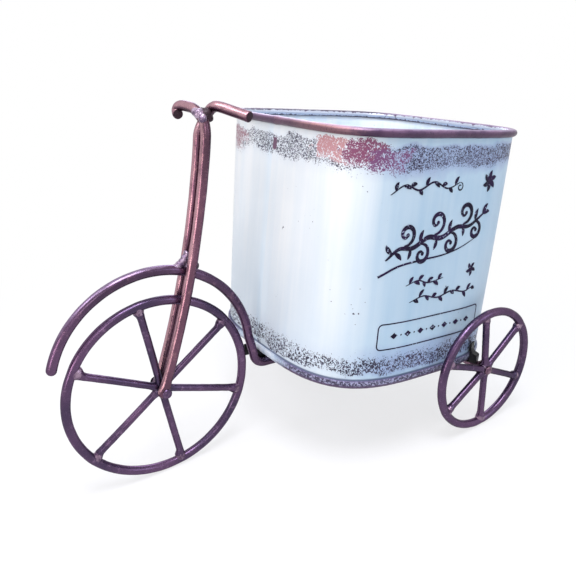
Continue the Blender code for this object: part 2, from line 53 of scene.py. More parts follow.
# what a mask can follow, beside the measures that a look makes of these
placeMeasures = {
    "along": lambda mix: mix.axes(mix.place)[0],
    "across": lambda mix: mix.axes(mix.place)[1],
    "height": lambda mix: mix.axes(mix.place)[2],
    "away": lambda mix: mix.vectors("LENGTH", mix.place)["Value"],
    "upward": lambda mix: mix.axes(mix.facing)[2],
    # how far a face turns toward the side that takes a painted highlight
    "towardPaintedHighlight": lambda mix: mix.vectors("DOT_PRODUCT", mix.facing, mix.look["paintedHighlightWay"])["Value"],
    "outward": lambda mix: mix.vectors("DOT_PRODUCT", mix.facing, mix.vectors(
        "NORMALIZE", mix.vectors("MULTIPLY", mix.place, (1.0, 1.0, 0.0))[0])[0])["Value"],
    "turn": lambda mix: mix.times(mix.sums(         # degrees round the upright axis
        "ARCTAN2", mix.measure("across"), mix.measure("along")), 180 / math.pi),
}

# what a look makes measures of: noise, a measure and some noise, the distance from a value
# of a measure, a mask, and the sum or the most of other measures
madeMeasures = {
    "grains": lambda mix, *grain: mix.cloudy(*grain),
    "strays": lambda mix, base, amount, *grain: mix.plus(mix.measure(base), mix.times(
        mix.sums("SUBTRACT", mix.cloudy(*grain), 0.5), amount)),
    "asides": lambda mix, base, middle: mix.sums(
        "ABSOLUTE", mix.sums("SUBTRACT", mix.measure(base), middle), 0.0),
    "masks": lambda mix, *rows: mix.mask(*rows),
    "sums": lambda mix, *rows: mix.sums("ADD", *(
        mix.times(mix.measure(key), share) for key, share in rows), clamp=True),
    "most": lambda mix, *keys: mix.sums("MAXIMUM", *map(mix.measure, keys)),
}


class nodeMixer:
    # the nodes of one material or world, laid by place and facing in its piece's own frame

    def __init__(self, owner, look):
        owner.use_nodes = True
        self.owner, self.tree, self.look, self.known = owner, owner.node_tree, look, {}
        found = self.node("TexCoord").outputs
        self.place, self.facing = found["Object"], found["Normal"]

    def node(self, kind, inputs=None, **settings):
        made = self.tree.nodes.new("ShaderNode" + kind)
        for key, value in settings.items():
            setattr(made, key, value)
        self.feed(made, inputs or {})
        return made

    def feed(self, node, inputs):
        for key, value in inputs.items():
            if isinstance(value, bpy.types.NodeSocket):
                self.tree.links.new(value, node.inputs[key])
            else:
                node.inputs[key].default_value = value

    def cloudy(self, scale, detail=2.0, roughness=0.5, distortion=0.0):
        # noise, drawn out into streaks where each axis has a scale of its own
        place = self.place
        if isinstance(scale, tuple):
            place = self.node("Mapping", {"Vector": place, "Scale": scale}).outputs[0]
            scale = 1.0
        return self.node("TexNoise", {"Vector": place, "Scale": scale, "Detail": detail,
                                      "Roughness": roughness,
                                      "Distortion": distortion}).outputs["Fac"]

    def remap(self, value, low, high, toLow=0.0, toHigh=1.0):
        return self.node("MapRange", {"Value": value, "From Min": low, "From Max": high,
                                      "To Min": toLow, "To Max": toHigh},
                         interpolation_type="SMOOTHSTEP").outputs["Result"]

    def sums(self, operation, first, *others, clamp=False):
        for other in others:
            first = self.node("Math", {0: first, 1: other}, operation=operation,
                              use_clamp=clamp).outputs[0]
        return first

    def times(self, *parts):
        return self.sums("MULTIPLY", *parts)

    def plus(self, *parts):
        return self.sums("ADD", *parts)

    def vectors(self, operation, *parts):
        return self.node("VectorMath", dict(enumerate(parts)), operation=operation).outputs

    def axes(self, vector):
        return self.node("SeparateXYZ", {0: vector}).outputs

    def measure(self, key):
        if key not in self.known:
            for kind, make in madeMeasures.items():
                if key in self.look.get(kind, ()):
                    self.known[key] = make(self, *self.look[kind][key])
                    break
            else:
                self.known[key] = placeMeasures[key](self)
        return self.known[key]

    def mask(self, *rows):
        # the product of measures, remapped where edges are given
        return self.times(*(self.remap(self.measure(key), *edges) if edges
                            else self.measure(key) for key, *edges in rows))

    def blend(self, share, *colours):
        first, second = (colour if isinstance(colour, bpy.types.NodeSocket) else tint(colour)
                         for colour in colours)
        return self.node("Mix", {0: share, 6: first, 7: second}, data_type="RGBA").outputs[2]

    def seenOrMirrored(self):
        # 1 for what the camera, gloss and glass see, 0 for light that bounces
        path = self.node("LightPath").outputs
        return self.sums("MAXIMUM", path["Is Camera Ray"], path["Is Glossy Ray"],
                         path["Is Transmission Ray"])

    def whiten(self, share, under, kind, output):
        white = self.node(kind, {"Color": (1, 1, 1, 1), "Strength": 1.0})
        mixed = self.node("MixShader", {0: share, 1: under.outputs[0], 2: white.outputs[0]})
        self.feed(self.tree.nodes[output], {"Surface": mixed.outputs[0]})


# camera, floor and lights

cameraValues = {
    "place": (-0.18952, -0.29783, 0.24777),
    "right": (0.8291796, -0.5582630, -0.0283489),
    "up": (0.2383374, 0.3072144, 0.9213113),
    "back": (-0.5056248, -0.7706891, 0.3877909),
    "lens": 37.484,
    "sensor": 36.0,
    "nearest": 0.01,
}

studioValues = {
    "floorHalf": 4.0,
    "floor": {"Base Color": tint((240, 240, 243)), "Roughness": 0.9, "Specular IOR Level": 0.1},
    "glow": ("away", 0.16, 0.42, 0.72, 1.0),        # share of plain white that is seen
    "room": {"Color": tint((232, 238, 250)), "Strength": 0.36},
}

# name: place, what it points at, size, watts, tint
lampValues = {
    "keySoftbox": ((-0.42, -0.80, 0.55), (-0.02, 0.0, 0.10), 0.30, 1.25, (255, 250, 246)),
    "lowSoftbox": ((-0.49, -0.15, 0.16), (-0.06, 0.0, 0.13), 0.15, 0.46, (255, 238, 232)),
    "slantSoftbox": ((-0.66, 0.12, 0.95), (-0.04, 0.0, 0.12), 0.42, 2.9, (252, 250, 255)),
    "fillSoftbox": ((0.60, -0.80, 0.50), (0.04, 0.0, 0.10), 0.50, 1.35, (228, 238, 255)),
    "topSoftbox": ((-0.12, -0.22, 1.0), (0.03, 0.0, 0.14), 0.50, 8.4, (250, 250, 255)),
    "backSoftbox": ((0.45, 0.72, 0.50), (0.03, 0.0, 0.10), 0.50, 2.2, (236, 240, 255)),
}


def makeCamera(values):
    data = bpy.data.cameras.new("planterCamera")
    data.lens = values["lens"]
    data.sensor_width = values["sensor"]
    data.clip_start = values["nearest"]
    camera = bpy.data.objects.new("planterCamera", data)
    scene.collection.objects.link(camera)
    columns = (values["right"], values["up"], values["back"], values["place"])
    camera.matrix_world = Matrix((*zip(*columns), (0, 0, 0, 1)))
    scene.camera = camera


def makeFloor(values):
    half = values["floorHalf"]
    mesh = bpy.data.meshes.new("studioFloor")
    mesh.from_pydata([(-half, -half, 0), (half, -half, 0), (half, half, 0), (-half, half, 0)],
                     [], [(0, 1, 2, 3)])
    floor = bpy.data.objects.new("studioFloor", mesh)
    scene.collection.objects.link(floor)
    mix = nodeMixer(bpy.data.materials.new("paleFloor"), values)
    shader = mix.tree.nodes["Principled BSDF"]
    mix.feed(shader, values["floor"])
    glow = mix.times(mix.seenOrMirrored(), mix.mask(values["glow"]))
    mix.whiten(glow, shader, "Emission", "Material Output")
    mesh.materials.append(mix.owner)


def makeRoom(values):
    scene.world = bpy.data.worlds.new("studioRoom")
    mix = nodeMixer(scene.world, values)
    soft = mix.tree.nodes["Background"]
    mix.feed(soft, values["room"])
    mix.whiten(mix.seenOrMirrored(), soft, "Background", "World Output")


def makeLamp(name, place, target, size, watts, colour):
    data = bpy.data.lights.new(name, "AREA")
    data.shape = "DISK"
    data.size = size
    data.energy = watts
    data.color = tint(colour)[:3]
    lamp = bpy.data.objects.new(name, data)
    lamp.location = place
    lamp.rotation_euler = (Vector(target) - Vector(place)).to_track_quat("-Z", "Y").to_euler()
    scene.collection.objects.link(lamp)


makeCamera(cameraValues)
makeFloor(studioValues)
makeRoom(studioValues)
for lampName, lampRow in lampValues.items():
    makeLamp(lampName, *lampRow)
print("camera, floor and lights are up")


# Materials. A grain is a noise's scale, detail, roughness and distortion. A mask follows
# measures, each with its edges: from where, to where, and how much at both. Coats are
# paints with their masks, laid over the ground in turn. A bump has a strength and a depth.

rodLook = {
    "grains": {"broad": (26.0, 2.0), "rubs": (260.0, 6.0, 0.70), "dots": (1900.0, 2.0, 0.6),
               "fine": (300.0, 4.0, 0.6), "hammered": (190.0, 2.0), "skin": (1300.0, 3.0, 0.65)},
    # a painted highlight: a paler coat, strongest on the side that faces the lamps
    "strays": {"paintedHighlight": ("towardPaintedHighlight", 0.5, 150.0, 4.0, 0.6)},
    "masks": {"body": (("broad", 0.32, 0.68),), "rubbed": (("rubs", 0.52, 0.78, 0.0, 0.55),),
              "pits": (("dots", 0.62, 0.70, 0.0, 0.45),)},
    "roughness": (("fine", 0.3, 0.7, 0.22, 0.34),),
    "bumps": (("hammered", 0.10, 0.0006), ("skin", 0.12, 0.00015)),
    "settings": {"Metallic": 0.86, "Specular Tint": tint((150, 120, 150)),
                 "Coat Weight": 0.40, "Coat Roughness": 0.26},
}

beadLook = {
    "grains": {"crust": (300.0, 4.0, 0.6), "lumps": (520.0, 3.0, 0.6)},
    "masks": {"raised": (("crust", 0.34, 0.66),)},
    "roughness": (("raised", 0.0, 1.0, 0.44, 0.26),),
    "bumps": (("lumps", 0.40, 0.0006),),
    "settings": {"Metallic": 0.72},
}

looks = {
    # painted rods: plum lacquer, rubbed through to copper; the spine and fork also carry a painted
    # highlight, a paler coat on the side that faces the lamps
    "wheelLacquer": {**rodLook, "ground": (57, 43, 72), "coats": (
        ((91, 64, 96), ("body",)), ((158, 126, 160), ("rubbed",)), ((40, 24, 44), ("pits",)))},
    # the spine's painted highlight lies on its upper side, the fork's on its upper front
    "spineLacquer": {**rodLook, "ground": (63, 43, 67), "paintedHighlightWay": (-0.22, 0.10, 0.97), "coats": (
        ((92, 64, 95), ("body",)), ((160, 122, 140), ("rubbed",)),
        ((160, 140, 172), ("paintedHighlight", 0.52, 0.98, 0.0, 0.66)), ((40, 24, 44), ("pits",)))},
    "forkLacquer": {**rodLook, "ground": (72, 46, 63), "paintedHighlightWay": (-0.74, -0.04, 0.67), "coats": (
        ((106, 69, 88), ("body",)), ((178, 132, 136), ("rubbed",)),
        ((200, 156, 164), ("paintedHighlight", 0.58, 0.92, 0.0, 0.72)), ((40, 24, 44), ("pits",)))},
    # bead metal under a thin coat, lighter than the rods; the pale one goes on the sides of welds
    # that face the lamps, partly a painted highlight
    "weldBead": {**beadLook, "ground": (76, 54, 80), "coats": (((150, 126, 146), ("raised",)),)},
    "paleBead": {**beadLook, "ground": (90, 70, 98), "coats": (((182, 162, 184), ("raised",)),)},
    # near-black: the rods' sawn ends, and painted shade on the backs of the handlebar and mudguard
    # welds
    "sawnEnd": {
        "grains": {"marks": ((300.0, 2600.0, 900.0), 3.0)},
        "ground": (30, 16, 28),
        "coats": (((60, 36, 48), ("marks",)),),
        "roughness": (("marks", 0.3, 0.7, 0.45, 0.62),),
        "bumps": (("marks", 0.4, 0.0003),),
        "settings": {"Metallic": 0.4},
    },
    "axleSteel": {
        "grains": {"rubs": (500.0, 4.0, 0.6), "fine": (1400.0, 2.0)},
        "masks": {"worn": (("rubs", 0.42, 0.62),)},
        "ground": (92, 66, 86),
        "coats": (((132, 100, 116), ("worn",)),),
        "roughness": (("worn", 0.0, 1.0, 0.45, 0.30),),
        "bumps": (("fine", 0.25, 0.0003),),
        "settings": {"Metallic": 0.75},
    },
    "blackSheet": {
        "grains": {"rubs": (700.0, 5.0, 0.65), "fine": (900.0, 3.0)},
        "ground": (12, 11, 16),
        "coats": (((60, 52, 66), ("rubs", 0.60, 0.70, 0.0, 0.7)),),
        "roughness": (("fine", 0.3, 0.7, 0.34, 0.55),),
        "bumps": (("fine", 0.3, 0.0003),),
        "settings": {"Specular IOR Level": 0.25},
    },
    "insideEnamel": {
        "grains": {"streaks": ((55.0, 55.0, 7.0), 5.0, 0.6), "dots": (800.0, 2.0)},
        "ground": (224, 239, 255),
        "coats": (((244, 250, 255), ("streaks", 0.34, 0.66)),
                  ((90, 76, 104), ("dots", 0.74, 0.77, 0.0, 0.8))),
        "roughness": (("streaks", 0.3, 0.7, 0.36, 0.55),),
        "bumps": (("streaks", 0.2, 0.0006),),
    },
    "stencilInk": {
        "grains": {"rubs": (620.0, 4.0, 0.7), "clouds": (90.0, 2.0)},
        "masks": {"soft": (("clouds", 0.35, 0.65),), "worn": (("rubs", 0.60, 0.67),)},
        "ground": (18, 12, 36),
        "coats": (((42, 28, 60), ("soft",)), ((176, 186, 212), ("worn",))),
        "roughness": (("soft", 0.0, 1.0, 0.55, 0.70),),
        "bumps": (("worn", 0.2, 0.0002),),
        "settings": {"Specular IOR Level": 0.12},
    },
    # plum with copper near the front corner; the far side is darker, and the enamel laps over the
    # tube from inside. The paler upward side is a painted highlight, and the darker lower half of
    # the tube is painted shade
    "rimLacquer": {
        "grains": {"broad": (60.0, 3.0), "dots": (1100.0, 2.0), "fine": (500.0, 3.0),
                   "skin": (900.0, 3.0)},
        "strays": {"copperTurn": ("turn", 14.0, 220.0, 3.0),
                   "top": ("upward", 0.5, 160.0, 4.0, 0.6),
                   "inside": ("outward", 1.1, 420.0, 4.0, 0.6)},
        "masks": {"far": (("across", 0.040, 0.066),)},
        "ground": (84, 58, 92),
        "coats": (
            ((122, 90, 122), ("broad", 0.36, 0.64)),
            ((196, 146, 148), ("copperTurn", -172.0, -150.0, 0.25, 1.0),
             ("copperTurn", -142.0, -131.0, 1.0, 0.0)),
            # painted shade: the lower half of the tube is darker
            ((56, 34, 58), ("height", 0.1448, 0.1462, 0.70, 0.0)),
            ((50, 34, 60), ("dots", 0.60, 0.68, 0.0, 0.7)),
            ((58, 56, 80), ("across", 0.040, 0.066, 0.0, 0.7)),
            # painted highlight: paler on the upward side, except on the far side
            ((172, 154, 184), ("top", 0.55, 0.95, 0.0, 0.55), ("far", 0.0, 1.0, 1.0, 0.0)),
            ((188, 194, 208), ("inside", -0.66, -0.82)),
        ),
        "roughness": (("fine", 0.3, 0.7, 0.32, 0.48),),
        "bumps": (("skin", 0.3, 0.0003),),
        "settings": {"Metallic": 0.45},
    },
    # smooth pale blue along the front, knurled lilac with a dark edge and top line beyond; the top
    # line is painted shade where the band meets the wall
    "footSeamEnamel": {
        "grains": {"streaks": (120.0, 4.0, 0.6), "knurl": (780.0, 3.0, 0.65)},
        "asides": {"sideways": ("across", 0.0)},
        "strays": {"beside": ("sideways", 0.020, 90.0, 3.0), "behind": ("along", 0.020, 90.0, 3.0)},
        "masks": {"beyond": (("beside", 0.014, 0.034), ("behind", 0.020, 0.070, 1.0, 0.45))},
        "ground": (188, 212, 232),
        "paints": {"knurled": ((52, 46, 72), (164, 164, 196), ("knurl", 0.45, 0.62))},
        "coats": (
            ((226, 236, 246), ("streaks", 0.35, 0.65)),
            ("knurled", ("beyond",)),
            ((78, 58, 88), ("height", 0.0023, 0.0012), ("beyond", 0.0, 1.0, 0.25, 0.92)),
            # painted shade: a dark line along the top of the band, where it meets the wall
            ((92, 84, 120), ("height", 0.0040, 0.0048), ("beyond", 0.0, 1.0, 0.35, 0.80)),
        ),
        "roughness": (("knurl", 0.3, 0.7, 0.34, 0.55),),
        "bumps": (("knurl", 0.55, 0.0005),),
        "settings": {"Metallic": 0.15},
    },
    # pale blue enamel, brushed white: thick round the front corner, thin along the side; the white
    # round the front corner is partly painted light, brightest where the lamps fall
    "washedEnamel": {
        "grains": {"streaks": ((110.0, 110.0, 4.0), 5.0, 0.6), "cloud": (16.0, 3.0),
                   "patchy": (55.0, 3.0), "fine": (1500.0, 2.0, 0.55, 0.6),
                   "coarse": (700.0, 2.0, 0.55, 0.8), "warmth": (160.0, 2.0),
                   "dots": (420.0, 2.0, 0.5), "groups": (28.0, 2.0),
                   "hairs": ((420.0, 420.0, 26.0), 3.0)},
        "strays": {"level": ("height", 0.014, 60.0, 4.0, 0.6),
                   "swayed": ("turn", 26.0, 130.0, 4.0, 0.65)},
        "asides": {"byCluster": ("across", 0.0016), "bySpot": ("across", -0.0004)},
        "masks": {
            "front": (("along", -0.071, -0.034, 1.0, 0.0),),
            "brushed": (("brushing", 0.42, 0.80),),
            "seam": (("along", -0.050, -0.060),),
            "rise": (("along", 0.010, 0.075, 0.0, -0.0040),),
            "topBand": (("upper", 0.1195, 0.1290), ("upper", 0.1365, 0.1396, 1.0, 0.0)),
            "footBand": (("level", 0.0050, 0.0088), ("level", 0.0130, 0.0275, 1.0, 0.0)),
            "patchyBands": (("bands",), ("patchy", 0.30, 0.60, 0.80, 1.0)),
            "cluster": (("byCluster", 0.0016, 0.0030, 1.15, 0.0),
                        ("height", 0.016, 0.022, 1.0, 0.0), ("seam",)),
            "low": (("height", 0.020, 0.040, 1.0, 0.0),),
            "fineSpecks": (("fine",), ("low", 0.0, 1.0, 0.72, 0.40)),
            "coarseSpecks": (("coarse",), ("low", 0.0, 1.0, 0.28, 0.60)),
            "spot": (("bySpot", 0.0010, 0.0030, 1.0, 0.0), ("height", 0.1265, 0.1290),
                     ("height", 0.1340, 0.1360, 1.0, 0.0), ("seam",)),
            "chips": (("dots", 0.725, 0.745), ("groups", 0.58, 0.66)),
        },
        "sums": {"brushing": (("streaks", 0.7), ("cloud", 0.5)),
                 # wash and painted light together: whitest round the front corner
                 "washAndPaintedLight": (("front", 0.76), ("brushed", 0.26)),
                 "upper": (("level", 1.0), ("rise", 1.0)),
                 "specks": (("fineSpecks", 1.0), ("coarseSpecks", 1.0))},
        "most": {"bands": ("topBand", "footBand"), "density": ("patchyBands", "cluster")},
        "ground": (164, 194, 214),
        "paints": {"specked": ((32, 28, 54), (40, 32, 66), ("warmth", 0.44, 0.62))},
        "coats": (
            ((232, 235, 234), ("washAndPaintedLight",), ("height", 0.0, 0.120, 0.66, 1.0)),
            ((196, 222, 238), ("across", 0.0010, 0.0024), ("across", 0.0050, 0.0100, 1.0, 0.0),
             ("along", -0.060, -0.064, 0.0, 0.28)),         # a bluer strip beside the seam: painted shade of its rib
            ((126, 138, 186), ("haze",), ("along", -0.064, -0.030, 0.10, 0.62)),
            ("specked", ("specked",)),
            ((104, 116, 146), ("height", 0.0053, 0.0059, 0.85, 0.0)),   # painted shade over the foot, on the wall just above the band
        ),
        "roughness": (("streaks", 0.3, 0.7, 0.36, 0.52),),
        "bumps": (("hairs", 0.10, 0.0005), ("bare", 0.22, 0.0002)),
        "settings": {"Coat Weight": 0.12, "Coat Roughness": 0.28},
    },
}

# The speckles on the bucket are the undercoat, seen where the specks pass a limit.
speckValues = {
    "limits": (0.73, 0.492),        # where bare and where dense
    "edges": (-0.005, 0.011),
    "hazePower": 0.6,
    # from, to (degrees round the bucket), low, high, how whole, paint
    "patches": (
        (-150.5, -136.5, 0.1292, 0.1398, 1.0, (180, 130, 134)),
        (-138.0, -124.5, 0.1286, 0.1402, 1.02, (120, 58, 92)),
        (-131.0, -117.5, 0.1256, 0.1362, 0.84, (110, 62, 106)),
        (138.0, 154.0, 0.1250, 0.1375, 0.80, (134, 84, 98)),
    ),
    "patchSides": (-2.5, 3.5, -4.5, 4.0),
    "patchHeights": (-0.0035, 0.0030, -0.0012, 0.0008),
    "patchCover": 0.62,
    "patchEaten": 3.0,
    "patchEdges": (0.34, 0.38),
    "patchInside": (0.02, 0.10),
    "patchPaint": (0.06, 0.40),
    "spotEaten": 1.6,
    "spotEdges": (0.52, 0.60),
    "spotPaint": (94, 60, 86),
    "dull": 0.10,
}


def laySpecks(mix, values, colour):
    # gives the speckles' colour, and makes the measures that follow from them
    specks = mix.measure("specks")
    limit = mix.remap(mix.measure("density"), 0.0, 1.0, *values["limits"])
    mask = mix.remap(mix.sums("SUBTRACT", specks, limit), *values["edges"])
    # the copper coat shows whole in places, its edges eaten by the same specks
    eaten = mix.sums("SUBTRACT", specks, 0.5)
    for start, end, bottom, top, whole, paint in values["patches"]:
        sides = list(map(sum, zip((start, start, end, end), values["patchSides"])))
        heights = list(map(sum, zip((bottom, bottom, top, top), values["patchHeights"])))
        inside = mix.mask(("swayed", *sides[:2]), ("swayed", *sides[2:], 1.0, 0.0),
                          ("level", *heights[:2]), ("upper", *heights[2:], 1.0, 0.0))
        cover = mix.plus(mix.times(inside, values["patchCover"] * whole),
                         mix.times(eaten, values["patchEaten"]))
        cover = mix.times(mix.remap(cover, *values["patchEdges"]),
                          mix.remap(inside, *values["patchInside"]))
        colour = mix.blend(mix.remap(inside, *values["patchPaint"]), colour, paint)
        mask = mix.sums("MAXIMUM", mask, cover)
    # a bare spot on the seam
    spot = mix.plus(mix.measure("spot"), mix.times(eaten, values["spotEaten"]))
    spot = mix.remap(spot, *values["spotEdges"])
    colour = mix.blend(spot, colour, values["spotPaint"])
    mask = mix.sums("MAXIMUM", mask, spot, mix.measure("chips"))
    mix.known["specked"] = mask
    mix.known["bare"] = mix.sums("SUBTRACT", 1.0, mask)
    mix.known["haze"] = mix.sums("POWER", mix.measure("density"), values["hazePower"])
    return colour


def makeFinish(name, look):
    mix = nodeMixer(bpy.data.materials.new(name), look)
    paints = {key: mix.blend(mix.mask(mask), low, high)
              for key, (low, high, mask) in look.get("paints", {}).items()}
    dull = None
    if "specked" in paints:
        paints["specked"] = laySpecks(mix, speckValues, paints["specked"])
        dull = mix.times(mix.measure("specked"), speckValues["dull"])
    colour, normal = look["ground"], None
    for paint, *masks in look["coats"]:
        colour = mix.blend(mix.mask(*masks), colour, paints.get(paint, paint))
    for key, strength, depth in look["bumps"]:
        inputs = {"Height": mix.measure(key), "Strength": strength, "Distance": depth}
        if normal is not None:
            inputs["Normal"] = normal
        normal = mix.node("Bump", inputs).outputs[0]
    roughness = mix.mask(*look["roughness"])
    if dull is not None:
        roughness = mix.plus(roughness, dull)
    mix.feed(mix.tree.nodes["Principled BSDF"], {
        "Base Color": colour, "Roughness": roughness, "Normal": normal,
        **look.get("settings", {})})


for finishName, finishLook in looks.items():
    makeFinish(finishName, finishLook)
print("materials mixed: %d" % len(bpy.data.materials))


# sizes shared with the CAD, in metres

trikeValues = {
    "rod": 0.0029,
    "rodLess": 0.00002,             # keeps the roughened skin near the CAD's
    "gap": 0.0003,
    "frontAxle": (-0.0862, 0.0, 0.057758),
    "rearAxle": (0.1036, 0.083, 0.042758),
    "frontRing": 0.0550,
    "rearRing": 0.0400,
    "spoke": 0.0022,
    "hub": 0.0046,
    "legY": 0.0061,
    "legTopY": 0.0044,
    "legSkew": 0.0008,
    "legRise": 0.137,
    "legRake": 0.0394,
    "legBow": 0.0043,
    "closeShares": (0.53, 0.65),
    "barReach": 0.0250,
}

bucketValues = {
    "place": (0.0569, 0.0, 0.0522),
    "lean": 6.2,
    "height": 0.1467,
    "footHalves": (0.0748, 0.0760),
    "footSquareness": 3.4,
    "rimHalves": (0.0711, 0.0722),
    "rimSquareness": 4.6,
    "sheet": 0.0009,
    "rimTube": 0.0023,
    "rimShift": -0.0003,
    "seamHalf": 0.0032,
    "seamProud": 0.0006,
    "footSeam": 0.0048,
}

rearX, rearY, rearZ = trikeValues["rearAxle"]


# shapes and meshes

def fall(distance, reach):
    return math.exp(-(distance / reach) ** 2)


def held(share):
    return min(max(share, 0.0), 1.0)


def eased(share):
    return share * share * (3 - 2 * share)


def upright(turn):
    return Vector((math.cos(turn), 0, math.sin(turn)))


def uneven(point, amount, grain):
    return amount * noise.noise(point * grain)


def smoothPath(keys, count):
    # Catmull-Rom through the keys, as the CAD's rods
    ends = [keys[0] * 2 - keys[1], *keys, keys[-1] * 2 - keys[-2]]
    path = []
    for index in range(count):
        along = index / (count - 1) * (len(keys) - 1)
        start = min(int(along), len(keys) - 2)
        t = along - start
        a, b, c, d = ends[start:start + 4]
        bend = (a * 2 - b * 5 + c * 4 - d) * t ** 2 + (b * 3 - a - c * 3 + d) * t ** 3
        path.append((b * 2 + (c - a) * t + bend) / 2)
    return path


def addPiece(name, mesh, materials, body, nodes=(), place=None):
    mesh.shade_smooth()
    for material in materials:
        mesh.materials.append(bpy.data.materials[material])
    piece = bpy.data.objects.new(name, mesh)
    scene.collection.objects.link(piece)
    if place is not None:
        piece.matrix_world = place
    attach(piece, body)
    if nodes:
        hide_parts(*nodes)
    return piece


def meshFrom(solid, name, turned=True):
    if turned:
        bmesh.ops.recalc_face_normals(solid, faces=solid.faces)
    mesh = bpy.data.meshes.new(name)
    solid.to_mesh(mesh)
    solid.free()
    return mesh


def paintFaces(mesh, slot, wanted):
    # gives the wanted faces another of their piece's materials
    for face in mesh.polygons:
        if wanted(face):
            face.material_index = slot


def addRings(solid, rows, closed):
    # rows of points, each a ring, with faces from ring to ring
    rings = [[solid.verts.new(point) for point in row] for row in rows]
    pairs = list(zip(rings, rings[1:]))
    if closed:
        pairs.append((rings[-1], rings[0]))
    for low, high in pairs:
        for i in range(len(low)):
            j = (i + 1) % len(low)
            solid.faces.new((low[i], low[j], high[j], high[i]))
    return rings


# How a rod ends: steps (how far out, and what is kept of the radius), how far out its tip
# is, both in shares of the radius, and what is kept of its wobble.
domeTurns = [math.pi / 2 * step / 6 for step in range(1, 6)]
capLooks = {
    "dome": ([(math.sin(turn), math.cos(turn)) for turn in domeTurns], 1.0, 1.0),
    "sawn": (((0.05, 0.985), (0.09, 0.94), (0.10, 0.88)), 0.06, 0.5),
}


def capRows(end, ahead, row):
    # the rows beyond a rod's last ring, and its tip
    centre, across, upward, radius, shake, squeeze = row
    steps, tip, shakeShare = capLooks[end]
    return [(centre + ahead * radius * out, across, upward, radius * keep, shake * shakeShare,
             squeeze) for out, keep in steps], centre + ahead * radius * tip


def tubeMesh(name, path, radii, sides=24, closed=False, ends=("dome", "dome"), wobble=0.0,
             grain=150.0, flat=1.0):
    # A rod along a path. Radii, wobble and flat may change along it: flat squeezes it
    # sideways. A dome end is rounded, a sawn end is flat with a small round edge.
    count = len(path)
    radii, wobble, flat = ([value] * count if isinstance(value, float) else value
                           for value in (radii, wobble, flat))
    side = Vector((0, 1, 0))
    rows, ways = [], []
    for i, point in enumerate(path):
        before = path[i - 1] if closed or i else path[0]
        after = path[(i + 1) % count] if closed or i < count - 1 else path[-1]
        ahead = (after - before).normalized()
        side = (side - ahead * side.dot(ahead)).normalized()
        rows.append((point, side.copy(), ahead.cross(side), radii[i], wobble[i], flat[i]))
        ways.append(ahead)
    if not closed:
        firstCap, firstTip = capRows(ends[0], -ways[0], rows[0])
        lastCap, lastTip = capRows(ends[1], ways[-1], rows[-1])
        rows = firstCap[::-1] + rows + lastCap
    skin = []
    for centre, across, upward, radius, shake, squeeze in rows:
        row = []
        for k in range(sides):
            turn = math.tau * k / sides
            out = across * math.cos(turn) * squeeze + upward * math.sin(turn)
            point = centre + out * radius
            row.append(point + out * uneven(point, shake, grain))
        skin.append(row)
    solid = bmesh.new()
    rings = addRings(solid, skin, closed)
    if not closed:
        for end, tip, ring in ((ends[0], firstTip, rings[0]), (ends[1], lastTip, rings[-1])):
            pole = solid.verts.new(tip)
            for k in range(sides):
                face = solid.faces.new((ring[k], ring[(k + 1) % sides], pole))
                face.material_index = 1 if end == "sawn" else 0
    return meshFrom(solid, name)


def loftMesh(name, rows, closed=False):
    # closed joins the last ring to the first, and else both get a face
    solid = bmesh.new()
    rings = addRings(solid, rows, closed)
    if not closed:
        solid.faces.new(rings[0])
        solid.faces.new(rings[-1])
    return meshFrom(solid, name)


lumpValues = {
    "subdivisions": 3,
    "softening": 9,                 # rounds of smoothing
}


def lumpMesh(name, lumps, voxel, wobble, grain):
    # Overlapping balls, melted into one skin and roughened. A lump is a centre and halves.
    solid = bmesh.new()
    for centre, halves in lumps:
        place = Matrix.Translation(centre) @ Matrix.Diagonal((*halves, 1.0))
        bmesh.ops.create_icosphere(solid, subdivisions=lumpValues["subdivisions"], radius=1.0,
                                   matrix=place)
    rough = meshFrom(solid, name + "Rough", turned=False)
    helper = bpy.data.objects.new(name + "Rough", rough)
    scene.collection.objects.link(helper)
    melt = helper.modifiers.new("Melt", "REMESH")
    melt.mode = "VOXEL"
    melt.voxel_size = voxel
    soften = helper.modifiers.new("Soften", "SMOOTH")
    soften.iterations = lumpValues["softening"]
    bpy.context.view_layer.update()
    ready = helper.evaluated_get(bpy.context.evaluated_depsgraph_get())
    mesh = bpy.data.meshes.new_from_object(ready)
    mesh.name = name
    bpy.data.objects.remove(helper, do_unlink=True)
    bpy.data.meshes.remove(rough)
    normals = [vertex.normal.copy() for vertex in mesh.vertices]
    for vertex, normal in zip(mesh.vertices, normals):
        vertex.co = vertex.co + normal * uneven(vertex.co, wobble, grain)
    return mesh


def makeBead(name, centre, lumps, skin, materials, wanted, body, node):
    # skin: voxel, wobble, grain; the wanted faces take the second material
    lumps = [(centre + Vector(shift), halves) for shift, halves in lumps]
    mesh = lumpMesh(name, lumps, *skin)
    paintFaces(mesh, 1, wanted)
    addPiece(name, mesh, materials, body, [node])


# wheels: a ring of rod, a hub, and six spokes with a weld bead where each meets the ring

wheelValues = {
    "ringPoints": 220,
    "wobble": 0.00008,
    "ringLess": 0.00018,            # so that a round rod stands on the floor
    "dent": (0.00012, 0.004, 9),    # of the ring beside a bead, its reach, and waves round it
    "spokePoints": 44,
    "spokeSides": 18,
    "spokeGrain": 330.0,
    "bow": (0.00015, 5),            # of a spoke, and how it turns with the spoke's degrees
    "rootFrom": 0.0032,             # where a spoke starts, inside the hub
    "root": (0.0024, 0.0005, 0.0003),       # reach, swell and wobble
    "bite": 0.0007,                 # how far its bead sinks into the ring
    "bead": (0.0030, 0.0009),       # reach and wobble
    "metal": (0.0017, 0.0012, 900.0),       # how far weld metal shows, its edge and grain
    "roomY": 0.0030,                # half of the room between the fork's legs
    "roomWobble": 0.4,              # share of a spoke's wobble that needs room
}

